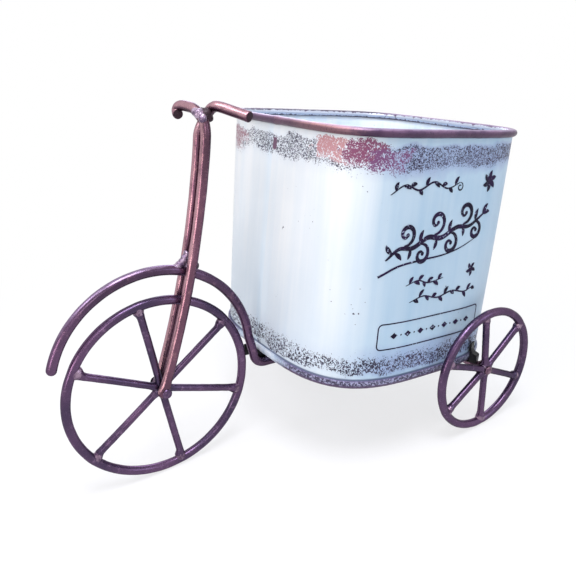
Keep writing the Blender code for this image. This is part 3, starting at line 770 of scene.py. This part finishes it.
hubValues = {
    "core": (0.98, 0.93),           # shares of the hub's radius and of the room
    "lumps": 7,                     # round the core
    "lumpFrom": 0.4,
    "lumpOut": 0.72,
    "lumpHalves": (0.0019, 0.80, 0.0017),   # the middle one is a share of the room
    "skin": (0.00028, 0.00035, 520.0),
    "pale": (0.10, Vector((0.9, 0.0, -0.5)), 420.0),    # least noise, its slope, grain; the slope lays the pale metal on the hub's upper front, where light falls, so it is partly a painted highlight
}

# spoke: degrees from the back of the tricycle, bead radius, bead's shift along the ring
frontSpokes = ((97.7, 0.0033, 0.0003), (34.6, 0.0034, 0.0008), (-20.4, 0.0035, -0.0004),
               (-81.7, 0.0033, -0.0010), (-145.5, 0.0031, 0.0007), (151.9, 0.0040, -0.0013))
rearSpokes = ((95.5, 0.0031, 0.0006), (37.2, 0.0030, 0.0), (-27.1, 0.0036, 0.0006),
              (-88.9, 0.0038, 0.0004), (-149.4, 0.0032, 0.0), (158.0, 0.0033, -0.0008))


def makeRing(name, radius, centre, body, spokes):
    values, path, radii = wheelValues, [], []
    depth, reach, waves = values["dent"]
    for i in range(values["ringPoints"]):
        turn = math.tau * i / values["ringPoints"]
        path.append(centre + upright(turn) * radius)
        dent = sum(depth * fall(radius * math.remainder(turn - math.radians(spoke[0]), math.tau),
                                reach) for spoke in spokes)
        radii.append(trikeValues["rod"] - values["ringLess"] + dent * math.sin(turn * waves))
    mesh = tubeMesh(name, path, radii, closed=True, wobble=values["wobble"])
    addPiece(name, mesh, ["wheelLacquer"], body, [body + "_ring"])


def makeSpoke(name, ringRadius, centre, body, node, degrees, bead, shift):
    values, spoke = wheelValues, trikeValues["spoke"]
    turn = math.radians(degrees)
    out, aside = upright(turn), upright(turn + math.pi / 2)
    start = values["rootFrom"]
    end = ringRadius - trikeValues["rod"] + values["bite"]
    beadReach, beadWobble = values["bead"]
    rootReach, rootSwell, rootWobble = values["root"]
    bowed, bowTurns = values["bow"]
    path, radii, shakes, flats = [], [], [], []
    for i in range(values["spokePoints"]):
        share = i / (values["spokePoints"] - 1)
        reach = start + (end - start) * share
        melted, root = fall(end - reach, beadReach), fall(reach - start, rootReach)
        bow = math.sin(math.pi * share) * bowed * math.sin(degrees * bowTurns)
        path.append(centre + out * reach + aside * (shift * melted + bow))
        radii.append(spoke + (bead - spoke) * melted + rootSwell * root)
        shakes.append(values["wobble"] + beadWobble * melted + rootWobble * root)
        flats.append(min(1.0, values["roomY"] / (
            radii[-1] + values["roomWobble"] * shakes[-1])))
    mesh = tubeMesh(name, path, radii, sides=values["spokeSides"], wobble=shakes,
                    grain=values["spokeGrain"], flat=flats)
    metal, *edge = values["metal"]
    paintFaces(mesh, 1, lambda face: (face.center - centre).length
               + uneven(face.center, *edge) > end - metal)
    addPiece(name, mesh, ["wheelLacquer", "weldBead"], body, [node])


def makeHub(name, centre, body):
    values, hub, roomY = hubValues, trikeValues["hub"], wheelValues["roomY"]
    wide, deep = values["core"]
    lumps = [((0, 0, 0), (hub * wide, roomY * deep, hub * wide))]
    long, deep, high = values["lumpHalves"]
    for k in range(values["lumps"]):
        turn = math.tau * k / values["lumps"] + values["lumpFrom"]
        lumps.append((upright(turn) * hub * values["lumpOut"], (long, roomY * deep, high)))
    least, slope, grain = values["pale"]
    makeBead(name, centre, lumps, values["skin"], ["wheelLacquer", "paleBead"],
             lambda face: uneven(face.center, 1.0, grain)
             > least + slope.dot(face.center - centre) / hub, body, body + "_hub")


def makeWheel(label, body, ringRadius, centre, spokes):
    centre = Vector(centre)
    makeRing(label + "Ring", ringRadius, centre, body, spokes)
    for index, spoke in enumerate(spokes, 1):
        makeSpoke("%sSpoke%d" % (label, index), ringRadius, centre, body,
                  "%s_spoke_%d" % (body, index), *spoke)
    makeHub(label + "Hub", centre, body)


makeWheel("frontWheel", "front_wheel", trikeValues["frontRing"], trikeValues["frontAxle"],
          frontSpokes)
for wheelLabel, wheelBody, wheelY in (("rearLeftWheel", "rear_left_wheel", -rearY),
                                      ("rearRightWheel", "rear_right_wheel", rearY)):
    makeWheel(wheelLabel, wheelBody, trikeValues["rearRing"], (rearX, wheelY, rearZ), rearSpokes)
print("wheels made")


# fork and handlebar: two rods, joined by a bead under the crossing

forkValues = {
    "legPoints": 90,
    "barPoints": 80,
    "sides": 26,
    "eyeSwell": 0.0008,
    "eyeReach": 0.0042,
    "eyeHalf": 0.0027,              # what the eye leaves for the wheel
    "metal": (0.0046, 0.0020, 500.0),       # bare weld up the right foot, its edge and grain
    "wobble": 0.00009,
    "grain": 130.0,
    "weldShares": (0.150, 0.008, 0.640),
    "weldSkin": (0.00030, 0.00035, 380.0),
    "paintedShadeEdge": (-0.0022, 0.0012, 700.0),   # where the painted shade on the lump starts, its edge and grain
}

# keys of the bar's halves from the legs' top, in shares of the bar's reach
barShares = {
    "Left": ((0.036, -0.168, 0.26), (0.050, -0.096, 0.50), (0.018, 0.056, 0.656),
             (0.008, 0.272, 0.744), (0.0, 0.536, 0.764), (-0.024, 0.760, 0.772),
             (-0.052, 0.896, 0.740), (-0.072, 0.956, 0.672), (-0.090, 0.920, 0.608),
             (-0.108, 0.846, 0.592)),
    "Right": ((0.032, 0.172, 0.216), (0.112, 0.178, 0.380), (0.222, 0.172, 0.535),
              (0.300, 0.118, 0.672), (0.342, 0.012, 0.752), (0.386, -0.160, 0.782),
              (0.580, -0.520, 0.684), (0.712, -0.868, 0.600)),
}

# a dark lump behind the crossing, darkened as painted shade, and a paler one smeared over the bend
# in front, partly a painted highlight
crossingLumps = (
    ((0.0, 0.0, 0.0), (0.0036, 0.0038, 0.0034)),
    ((-0.0012, 0.0022, 0.0010), (0.0026, 0.0028, 0.0024)),
    ((0.0014, -0.0012, -0.0022), (0.0024, 0.0022, 0.0024)),
    ((0.0020, 0.0020, -0.0012), (0.0024, 0.0022, 0.0022)),
    ((-0.0042, -0.0008, 0.0006), (0.0028, 0.0027, 0.0028)),
    ((-0.0036, -0.0040, -0.0018), (0.0024, 0.0022, 0.0026)),
    ((-0.0050, 0.0016, 0.0014), (0.0022, 0.0024, 0.0022)),
)


def legPoint(share, side):
    values = trikeValues
    low, high = values["closeShares"]
    closed = eased(held((share - low) / (high - low)))
    x, y, z = values["frontAxle"]
    skew = side * values["legSkew"] * (1 - closed)
    bow = values["legBow"] * 4 * share * (1 - share)
    return Vector((x + values["legRake"] * share + bow + skew,
                   side * (values["legY"] + (values["legTopY"] - values["legY"]) * closed),
                   z + values["legRise"] * share))


def makeForkRod(label, side, node):
    values = forkValues
    path = [legPoint(i / values["legPoints"], side) for i in range(values["legPoints"])]
    top = legPoint(1.0, 0)
    path += smoothPath([legPoint(1.0, side)] + [
        top + Vector(shares) * trikeValues["barReach"] for shares in barShares[label]],
        values["barPoints"])
    foot = path[0]
    radii, flats = [], []
    for point in path:
        swell = fall((point - foot).length, values["eyeReach"])
        radii.append(trikeValues["rod"] - trikeValues["rodLess"] + values["eyeSwell"] * swell)
        flats.append(min(1.0, 1.0 + (values["eyeHalf"] / radii[-1] - 1.0) * swell))
    mesh = tubeMesh("fork" + label, path, radii, sides=values["sides"], ends=("dome", "sawn"),
                    wobble=values["wobble"], grain=values["grain"], flat=flats)
    if side > 0:
        metal, *edge = values["metal"]
        paintFaces(mesh, 2, lambda face: (face.center - foot).length
                   + uneven(face.center, *edge) < metal)
    addPiece("fork" + label, mesh, ["forkLacquer", "sawnEnd", "weldBead"], "frame", [node])


def makeHandlebarWeld():
    centre = legPoint(1.0, 0) + Vector(forkValues["weldShares"]) * trikeValues["barReach"]
    back, *edge = forkValues["paintedShadeEdge"]
    makeBead("handlebarBead", centre, crossingLumps, forkValues["weldSkin"],
             ["paleBead", "sawnEnd"], lambda face: (face.center - centre).x
             > back + uneven(face.center, *edge), "frame", "handlebar_weld")


makeForkRod("Left", -1, "fork_rod_left")
makeForkRod("Right", 1, "fork_rod_right")
makeHandlebarWeld()
print("fork made")


# mudguard and spine, one rod, and its bead in the fork

spineValues = {
    "guardRadius": 0.0609,
    "guardRise": 0.0120,
    "tipDegrees": 161.0,
    "heelDegrees": 4.0,
    "hookRadius": 0.0085,
    "hookDrop": 0.0147,
    "hookSet": 0.0032,
    "steps": (120, 8, 24, 60),      # along the guard, the drop, the hook and the spine
    "sides": 26,
    "wobble": 0.00010,
    "grain": 120.0,
    "weldSkin": (0.00028, 0.00032, 420.0),
    "paintedShadeFrom": 0.0018,
}

# a fillet in front of the legs, smooth and pale, partly a painted highlight, and a small collar
# behind them, darkened as painted shade
filletLumps = (
    ((0.0, 0.0, -0.0006), (0.0034, 0.0032, 0.0028)),
    ((-0.0076, 0.0, -0.0006), (0.0026, 0.0023, 0.0018)),
    ((-0.0058, -0.0001, 0.0002), (0.0026, 0.0025, 0.0023)),
    ((-0.0040, -0.0003, 0.0014), (0.0024, 0.0027, 0.0026)),
    ((-0.0026, -0.0005, 0.0032), (0.0019, 0.0027, 0.0028)),
    ((-0.0014, -0.0004, 0.0054), (0.0013, 0.0024, 0.0026)),
    ((0.0036, -0.0010, -0.0020), (0.0020, 0.0032, 0.0024)),
)


def guardPoint(degrees):
    x, _, z = trikeValues["frontAxle"]
    return Vector((x, 0, z + spineValues["guardRise"])) + upright(
        math.radians(degrees)) * spineValues["guardRadius"]


def spinePath():
    values = spineValues
    guardSteps, dropSteps, hookSteps, spineSteps = values["steps"]
    tip, heel, radius = values["tipDegrees"], values["heelDegrees"], values["hookRadius"]
    path = [guardPoint(tip + (heel - tip) * i / guardSteps) for i in range(guardSteps + 1)]
    drop = Vector((values["hookSet"], 0, -values["hookDrop"]))
    guardEnd = path[-1]
    path += [guardEnd + drop * i / dropSteps for i in range(1, dropSteps)]
    centre = guardEnd + drop + Vector((radius, 0, 0))
    end = Vector((rearX - 2 * trikeValues["rod"] - trikeValues["gap"], 0, rearZ))
    slope = math.atan2(centre.z - radius - end.z, end.x - centre.x)
    sweep = math.pi / 2 - slope
    path += [centre + upright(math.pi + sweep * i / hookSteps) * radius
             for i in range(hookSteps + 1)]
    last = path[-1]
    path += [last + (end - last) * i / spineSteps for i in range(1, spineSteps + 1)]
    return path


def makeSpine():
    values = spineValues
    mesh = tubeMesh("spineRod", spinePath(), trikeValues["rod"] - trikeValues["rodLess"],
                    sides=values["sides"], ends=("dome", "sawn"), wobble=values["wobble"],
                    grain=values["grain"])
    addPiece("spineRod", mesh, ["spineLacquer", "sawnEnd"], "frame", ["spine_rod"])


def makeGuardWeld():
    share = (guardPoint(90.0).z - trikeValues["frontAxle"][2]) / trikeValues["legRise"]
    foot = legPoint(share, 0)
    # the faces behind the legs take the near-black finish: painted shade
    makeBead("mudguardBead", foot, filletLumps, spineValues["weldSkin"],
             ["paleBead", "sawnEnd"], lambda face: face.center.x - foot.x
             > spineValues["paintedShadeFrom"], "frame", "fender_weld")


makeSpine()
makeGuardWeld()
print("mudguard and spine made")


# bucket, built in its own leaning frame with its foot at height zero

lean = math.radians(bucketValues["lean"])
bucketPlace = Matrix.Translation(bucketValues["place"]) @ Matrix.Rotation(lean, 4, "Y")

planValues = {
    "crowding": 0.55,               # of the points at the corners
    "seamTurn": 0.075,
}


def planAngles(even, seamSteps):
    # points round the rounded square, with more of them at the seam in the front wall
    seam, crowding = planValues["seamTurn"], planValues["crowding"]
    turns = [math.tau * i / even for i in range(even)]
    turns = [turn - crowding * math.sin(4 * turn) / 4 for turn in turns]
    turns = [turn for turn in turns if abs(turn - math.pi) > seam]
    turns += [math.pi + seam * (2 * i / seamSteps - 1) for i in range(seamSteps + 1)]
    return sorted(turns)


def planSizes(height):
    share, values = height / bucketValues["height"], bucketValues
    foot = (*values["footHalves"], values["footSquareness"])
    rim = (*values["rimHalves"], values["rimSquareness"])
    return [low + (high - low) * share for low, high in zip(foot, rim)]


def wallPoint(turn, height, out=0.0):
    halfLength, halfWidth, squareness = planSizes(height)
    c, s = math.cos(turn), math.sin(turn)
    x = math.copysign(abs(c) ** (2 / squareness), c) * (halfLength + out)
    y = math.copysign(abs(s) ** (2 / squareness), s) * (halfWidth + out)
    return Vector((x, y, height))


def addBucketPiece(name, rows, closed, materials, node, inside=None):
    mesh = loftMesh(name, rows, closed)
    if inside is not None:
        paintFaces(mesh, 1, inside)
    addPiece(name, mesh, materials, "frame", [node], bucketPlace)


wallValues = {
    "around": 300,
    "seamSteps": 44,
    "levels": 60,
    "innerLevels": 24,
    "rimBite": 0.0017,              # how far the wall goes up inside the tube
    "fade": 0.002,                  # of dents and seam, at foot and rim
    "dents": (0.00016, 26),         # the sheet isn't quite flat: depth and grain
    "dentShape": Vector((1.0, 1.0, 0.5)),   # tall
    "seamEdge": 0.0007,
    "groove": (0.0005, 0.0004, 0.00035),    # beside the folded seam: distance, width, depth
}


def seamRise(point):
    # the lock seam: a low flat rib with a groove along one side
    if point.x > 0:
        return 0.0
    half, (away, reach, depth) = bucketValues["seamHalf"], wallValues["groove"]
    return bucketValues["seamProud"] * eased(
        held((half - abs(point.y)) / wallValues["seamEdge"])) - depth * fall(
            point.y + half + away, reach)


def makeWall():
    values, sheet, gap = wallValues, bucketValues["sheet"], trikeValues["gap"]
    turns = planAngles(values["around"], values["seamSteps"])
    rimFoot = bucketValues["height"] - 2 * bucketValues["rimTube"]
    low, high = sheet + gap, rimFoot + values["rimBite"] - gap
    seamLow, seamHigh = bucketValues["footSeam"] + gap, rimFoot - gap

    def skinPoint(turn, height):
        fade = (held((height - seamLow) / values["fade"])
                * held((seamHigh - height) / values["fade"]))
        point = wallPoint(turn, height)
        dent = uneven(point * values["dentShape"], *values["dents"])
        return wallPoint(turn, height, (dent + seamRise(point)) * fade)

    levels, innerLevels = values["levels"], values["innerLevels"]
    rows = [[skinPoint(turn, low + (high - low) * level / levels) for turn in turns]
            for level in range(levels + 1)]
    rows += [[wallPoint(turn, high + (low - high) * level / innerLevels, -sheet)
              for turn in turns] for level in range(innerLevels + 1)]
    innerFrom = levels * len(turns)
    addBucketPiece("bucketWall", rows, True, ["washedEnamel", "insideEnamel"], "bucket_wall",
                   inside=lambda face: min(face.vertices) >= innerFrom
                   and face.normal.xy.dot(face.center.xy) < 0)


rimValues = {
    "around": 420,
    "seamSteps": 60,
    "sides": 22,
    "wobble": (0.00007, 190),
    "rollShift": 0.004,
    "join": (0.004, 0.00045, 0.0015),       # the rolled edge's overlap: length, rise, fade
    "line": (0.0005, 0.0004, 0.0005),       # the line beside it: distance, width, depth
}


def makeRim():
    values, tube, shift = rimValues, bucketValues["rimTube"], bucketValues["rimShift"]
    middle = bucketValues["height"] - tube
    (long, rise, fade), (away, reach, depth) = values["join"], values["line"]

    def tubePoint(turn, roll):
        base = wallPoint(turn, middle, shift)
        radius = tube - trikeValues["rodLess"]
        if base.x < 0:
            if 0 <= base.y < long:
                radius += rise * min(1.0, (long - base.y) / fade)
            radius -= depth * fall(base.y + away, reach)
        radius += uneven(base + Vector((0, 0, roll * values["rollShift"])), *values["wobble"])
        point = wallPoint(turn, middle, shift + radius * math.cos(roll))
        return Vector((*point.xy, middle + radius * math.sin(roll)))

    turns = planAngles(values["around"], values["seamSteps"])
    rows = [[tubePoint(turn, math.tau * k / values["sides"]) for turn in turns]
            for k in range(values["sides"])]
    addBucketPiece("bucketRim", rows, True, ["rimLacquer"], "bucket_rim")


panValues = {
    "around": 620,
    "seamSteps": 24,
    # out from the wall's outline and height, in millimetres: from the floor's upper side
    # down inside the wall, up over its foot, down outside, and back under the floor
    "profile": (
        (-31.2, 4.9), (-2.64, 4.9), (-1.83, 4.72), (-1.2, 4.18), (-1.2, 1.17), (-0.8, 0.9),
        (0.1, 0.9), (0.3, 1.17), (0.3, 4.6), (0.5, 4.8), (0.93, 4.8), (1.2, 4.4),
        (1.25, 3.8667), (1.2866, 3.3333), (1.3, 2.8), (1.2866, 2.2667), (1.25, 1.7333),
        (1.2, 1.2), (1.128, 0.6), (0.84, 0.1), (0.3, 0.0), (-1.2, 0.0), (-1.74, 0.1),
        (-2.055, 0.6), (-2.1, 1.4), (-2.1, 2.8), (-2.37, 3.7), (-3.36, 4.0), (-31.2, 4.0),
    ),
    "crimp": (0.00010, 520.0),      # small dents of the seaming roller, and their grain
    "crimped": (0.4, 4.5),          # further out than, and lower than
    "floorHalf": 0.06,
}


def makePan():
    # floor sheet, down inside the wall and folded up round its foot
    values = panValues
    outmost, below = values["crimped"]

    def foldPoint(turn, out, height):
        crimp = 0.0
        if out > outmost and height < below:
            crimp = uneven(Vector((*wallPoint(turn, 0.0, out / 1000).xy, height / 1000)),
                           *values["crimp"])
        return Vector((*wallPoint(turn, 0.0, out / 1000 + crimp).xy, height / 1000))

    turns = planAngles(values["around"], values["seamSteps"])
    rows = [[foldPoint(turn, *corner) for turn in turns] for corner in values["profile"]]
    addBucketPiece("bucketFoot", rows, False, ["footSeamEnamel", "insideEnamel"],
                   "bucket_floor_pan", inside=lambda face: face.normal.z > 0.5
                   and max(map(abs, face.center.xy)) < values["floorHalf"])


makeWall()
makeRim()
makePan()
print("bucket made")


# stencilled ornament on the near wall: leaf vines, a garland with curls, two blossoms, a
# long stroke, and a label frame with a row of diamonds. Its places are in millimetres.

printValues = {
    "film": 0.00006,                # how far the ink stands off the wall
    "layerRise": 0.000012,          # keeps strokes that cross apart
    "layers": 7,
    "stripes": (-1.0, -0.5, 0.0, 0.5, 1.0),
}

leafValues = {
    "points": 16,
    "bow": 0.10,
    "tip": 0.08,
    "power": 0.8,
}

vineValues = {
    "stem": (0.35, 1.35, 0.5),      # thinnest, share of the thickness, power
    "spread": (0.7, 0.4),           # of the leaves, from both ends
    "turn": 38,                     # of the leaves, to both sides of the stem
    "length": (5.0, 0.8, 1.7),      # of a leaf, how far it varies, and how fast
    "width": 2.4,
}

# keys, points, thickness, leaves, side of the first
topVine = (((-44, 113), (-35, 118), (-25, 115), (-14, 119), (-3, 115), (7, 118)), 60, 0.8, 9, 1)
middleVine = (((-27, 61), (-18, 63.2), (-9, 60.8), (3, 62.4)), 44, 0.6, 7, 1)
lowVine = (((-23, 50.5), (-12, 53), (0, 50.4), (12, 52.8), (24, 50.6), (33, 53)), 60, 0.7, 11, 0)

# centre, leaves, degrees of the first, their length and width, radius of the middle
topBlossom = ((33.5, 117.5), 6, 20, 6.4, 3.0, 1.0)
middleBlossom = ((27.5, 64.5), 5, 50, 4.6, 2.3, 0.8)

# a curl: centre, radius, last radius, from and to in degrees, steps; and its swell
topCurl = ((7.2, 115.4), 2.6, 0.7, 90, -330, 30)
topSwell = (0.3, 0.9, 0.6)

garlandValues = {
    "stem": ((-43, 77), (-35, 83), (-25, 83), (-14, 88), (-3, 87), (9, 92), (20, 92), (32, 98.5)),
    "stemSwell": (120, 0.8, 3.0, 0.6),      # points, thin, thick, power
    "curlSteps": 60,
    "curlEnd": 1.0,
    "curlWidth": (0.6, 0.7, 1.9, 0.7, 0.8),     # at the ends, thin, swell, its two powers
    "bead": 1.2,                    # at a curl's inner end
    # centre, radius, from and to in degrees
    "curls": (((-30.5, 91.0), 6.6, -100, 330), ((-18.0, 78.4), 6.4, 100, -330),
              ((-8.0, 96.4), 7.2, -100, 330), ((4.5, 82.6), 6.8, 100, -330),
              ((15.0, 100.4), 6.8, -100, 330), ((25.5, 88.6), 5.8, 100, -330)),
    # foot, degrees, length, width
    "leaves": (((-39, 80.5), 130, 7.0, 2.8), ((-38, 81), -40, 7.0, 2.6),
               ((-20, 85.5), 75, 7.5, 2.8), ((-27, 83), -100, 6.5, 2.4),
               ((3, 89.0), 80, 8.0, 2.8), ((-7, 87), -105, 7.0, 2.6),
               ((14, 92), -80, 6.0, 2.4), ((25, 94.5), 80, 7.5, 2.8),
               ((31, 98), 10, 7.0, 2.8), ((31, 98), 55, 7.5, 2.8)),
    "swoosh": ((-46.5, 67.8), (-34, 73.2), (-18, 75.2), (0, 76.4), (14, 79.2), (27, 84)),
    "swooshWidth": (90, 1.15, 0.6, 0.22),       # points, thick, power, thin
}

labelValues = {
    "sides": (-42.5, 41.0, 23.4, 39.2),     # left, right, low, high
    "corner": 2.6,
    "step": 1.2,
    "line": 0.75,
    "diamonds": 7,
    "first": (-31.5, 31.3),
    "apart": 10.3,
    "diamond": (2.6, 1.9),
    "dot": 0.55,
}


def printPoint(x, z, out):
    halfLength, halfWidth, squareness = planSizes(z)
    y = -halfWidth * (1 - abs(x / halfLength) ** squareness) ** (1 / squareness)
    slopeX = math.copysign(abs(x / halfLength) ** (squareness - 1), x) / halfLength
    slopeY = -abs(y / halfWidth) ** (squareness - 1) / halfWidth
    return Vector((x, y, z)) + Vector((slopeX, slopeY, 0)).normalized() * out


def strokeRows(points, widths, layer):
    # rows of points across a stroke
    values, rows = printValues, []
    points = [Vector(point) for point in points]
    out = values["film"] + values["layerRise"] * (layer % values["layers"])
    for i, point in enumerate(points):
        before, after = points[max(i - 1, 0)], points[min(i + 1, len(points) - 1)]
        ahead = (after - before).normalized()
        aside = Vector((-ahead.y, ahead.x))
        spots = [(point + aside * widths[i] * share / 2) / 1000 for share in values["stripes"]]
        rows.append([printPoint(spot.x, spot.y, out) for spot in spots])
    return rows


def arc(centre, start, end, fromDegrees, toDegrees, count):
    made = []
    for i in range(count + 1):
        t = i / count
        turn = math.radians(fromDegrees + (toDegrees - fromDegrees) * t)
        radius = start + (end - start) * t
        made.append((centre[0] + radius * math.cos(turn), centre[1] + radius * math.sin(turn)))
    return made


def bent(keys, count):
    return [tuple(point.xy) for point in smoothPath([Vector((*key, 0)) for key in keys], count)]


def swell(count, thin, thick, power):
    return [thin + (thick - thin) * max(0.0, math.sin(math.pi * i / (count - 1))) ** power
            for i in range(count)]


def leaf(base, degrees, length, width):
    values, turn = leafValues, math.radians(degrees)
    ahead = Vector((math.cos(turn), math.sin(turn)))
    aside = Vector((-ahead.y, ahead.x))
    shares = [i / (values["points"] - 1) for i in range(values["points"])]
    points = [Vector(base) + ahead * length * share
              + aside * length * values["bow"] * math.sin(math.pi * share) for share in shares]
    return points, swell(len(points), values["tip"], width, values["power"])


def spot(centre, halfWide, halfHigh, thin, shape):
    x, z = centre
    offs = [i / 6 - 1 for i in range(13)]
    return ([(x + halfWide * off, z) for off in offs],
            [max(thin, 2 * halfHigh * shape(off)) for off in offs])


def dot(centre, radius):
    short = 0.999                   # keeps its ends from closing to a point
    return spot(centre, radius * short, radius, 0.06,
                lambda off: math.sqrt(1 - (off * short) ** 2))


def diamond(centre, halfWide, halfHigh):
    return spot(centre, halfWide, halfHigh, 0.05, lambda off: 1 - abs(off))


def vine(keys, count, thick, leaves, side):
    stem, values = bent(keys, count), vineValues
    thin, share, power = values["stem"]
    first, last = values["spread"]
    long, varies, pace = values["length"]
    strokes = [(stem, swell(count, thin, thick * share, power))]
    for k in range(leaves):
        at = int((k + first) / (leaves + last) * (count - 1))
        ahead = Vector(stem[min(at + 1, count - 1)]) - Vector(stem[max(at - 1, 0)])
        turn = values["turn"] * (1 if (k + side) % 2 else -1)
        strokes.append(leaf(stem[at], math.degrees(math.atan2(ahead.y, ahead.x)) + turn,
                            long + varies * math.sin(k * pace), values["width"]))
    return strokes


def blossom(centre, leaves, degrees, length, width, middle):
    return [leaf(centre, 360 / leaves * k + degrees, length, width)
            for k in range(leaves)] + [dot(centre, middle)]


def garland(values):
    strokes = [(bent(values["stem"], values["stemSwell"][0]), swell(*values["stemSwell"]))]
    steps, (tip, thin, swelling, early, power) = values["curlSteps"], values["curlWidth"]
    widths = [thin + swelling * math.sin(math.pi * (i / steps) ** early) ** power
              for i in range(1, steps)]
    for centre, radius, fromDegrees, toDegrees in values["curls"]:
        curl = arc(centre, radius, values["curlEnd"], fromDegrees, toDegrees, steps)
        strokes += [(curl, [tip, *widths, tip]), dot(curl[-1], values["bead"])]
    strokes += [leaf(*row) for row in values["leaves"]]
    count, thick, power, thin = values["swooshWidth"]
    strokes.append((bent(values["swoosh"], count),
                    [thick * (1 - i / (count - 1)) ** power + thin for i in range(count)]))
    return strokes


def label(values):
    left, right, low, high = values["sides"]
    corner = values["corner"]
    outline = []
    for x, z, degrees in ((right - corner, high - corner, 0), (left + corner, high - corner, 90),
                          (left + corner, low + corner, 180),
                          (right - corner, low + corner, 270)):
        outline += arc((x, z), corner, corner, degrees, degrees + 90, 6)
    outline.append(outline[0])
    fine = []
    for (x1, z1), (x2, z2) in zip(outline, outline[1:]):
        parts = max(1, int(math.hypot(x2 - x1, z2 - z1) / values["step"]))
        fine += [(x1 + (x2 - x1) * i / parts, z1 + (z2 - z1) * i / parts) for i in range(parts)]
    fine.append(fine[0])
    strokes = [(fine, [values["line"]] * len(fine))]
    x, z = values["first"]
    for k in range(values["diamonds"]):
        strokes += [diamond((x + values["apart"] * k, z), *values["diamond"]),
                    dot((x + values["apart"] * (k + 0.5), z), values["dot"])]
    return strokes[:-1]


def makePrint():
    curl = arc(*topCurl)
    strokes = (vine(*topVine) + [(curl, swell(len(curl), *topSwell))] + blossom(*topBlossom)
               + garland(garlandValues) + vine(*middleVine) + blossom(*middleBlossom)
               + vine(*lowVine) + label(labelValues))
    solid = bmesh.new()
    for layer, (points, widths) in enumerate(strokes):
        grid = [[solid.verts.new(point) for point in row]
                for row in strokeRows(points, widths, layer)]
        for low, high in zip(grid, grid[1:]):
            for i in range(len(low) - 1):
                solid.faces.new((low[i], high[i], high[i + 1], low[i + 1]))
    piece = addPiece("stencilPrint", meshFrom(solid, "stencilPrint", turned=False),
                     ["stencilInk"], "frame", (), bucketPlace)
    film = piece.modifiers.new("Film", "SOLIDIFY")
    film.thickness = printValues["film"]
    film.offset = 1.0


makePrint()
print("ornament printed")


# the CAD's own brackets, pins, washers and axle keep their shape and get new finishes; the brackets
# and washers also get softer edges

# node: material, width of the soft edge
dressValues = {
    "front_bracket": ("blackSheet", 0.00022),
    "rear_left_bracket": ("blackSheet", 0.00022),
    "rear_right_bracket": ("blackSheet", 0.00022),
    "rear_left_washer": ("axleSteel", 0.00015),
    "rear_right_washer": ("axleSteel", 0.00015),
    "front_axle_pin": ("wheelLacquer", 0.0),
    "rear_axle": ("axleSteel", 0.0),
}


def dressNode(node, material, edge):
    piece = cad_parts[node]
    piece.data.materials.clear()
    piece.data.materials.append(bpy.data.materials[material])
    if edge:
        soft = piece.modifiers.new("Edges", "BEVEL")
        soft.width = edge
        soft.segments = 2
        soft.limit_method = "ANGLE"
        soft.harden_normals = True


for nodeName, dressRow in dressValues.items():
    dressNode(nodeName, *dressRow)
print("brackets and axles dressed")
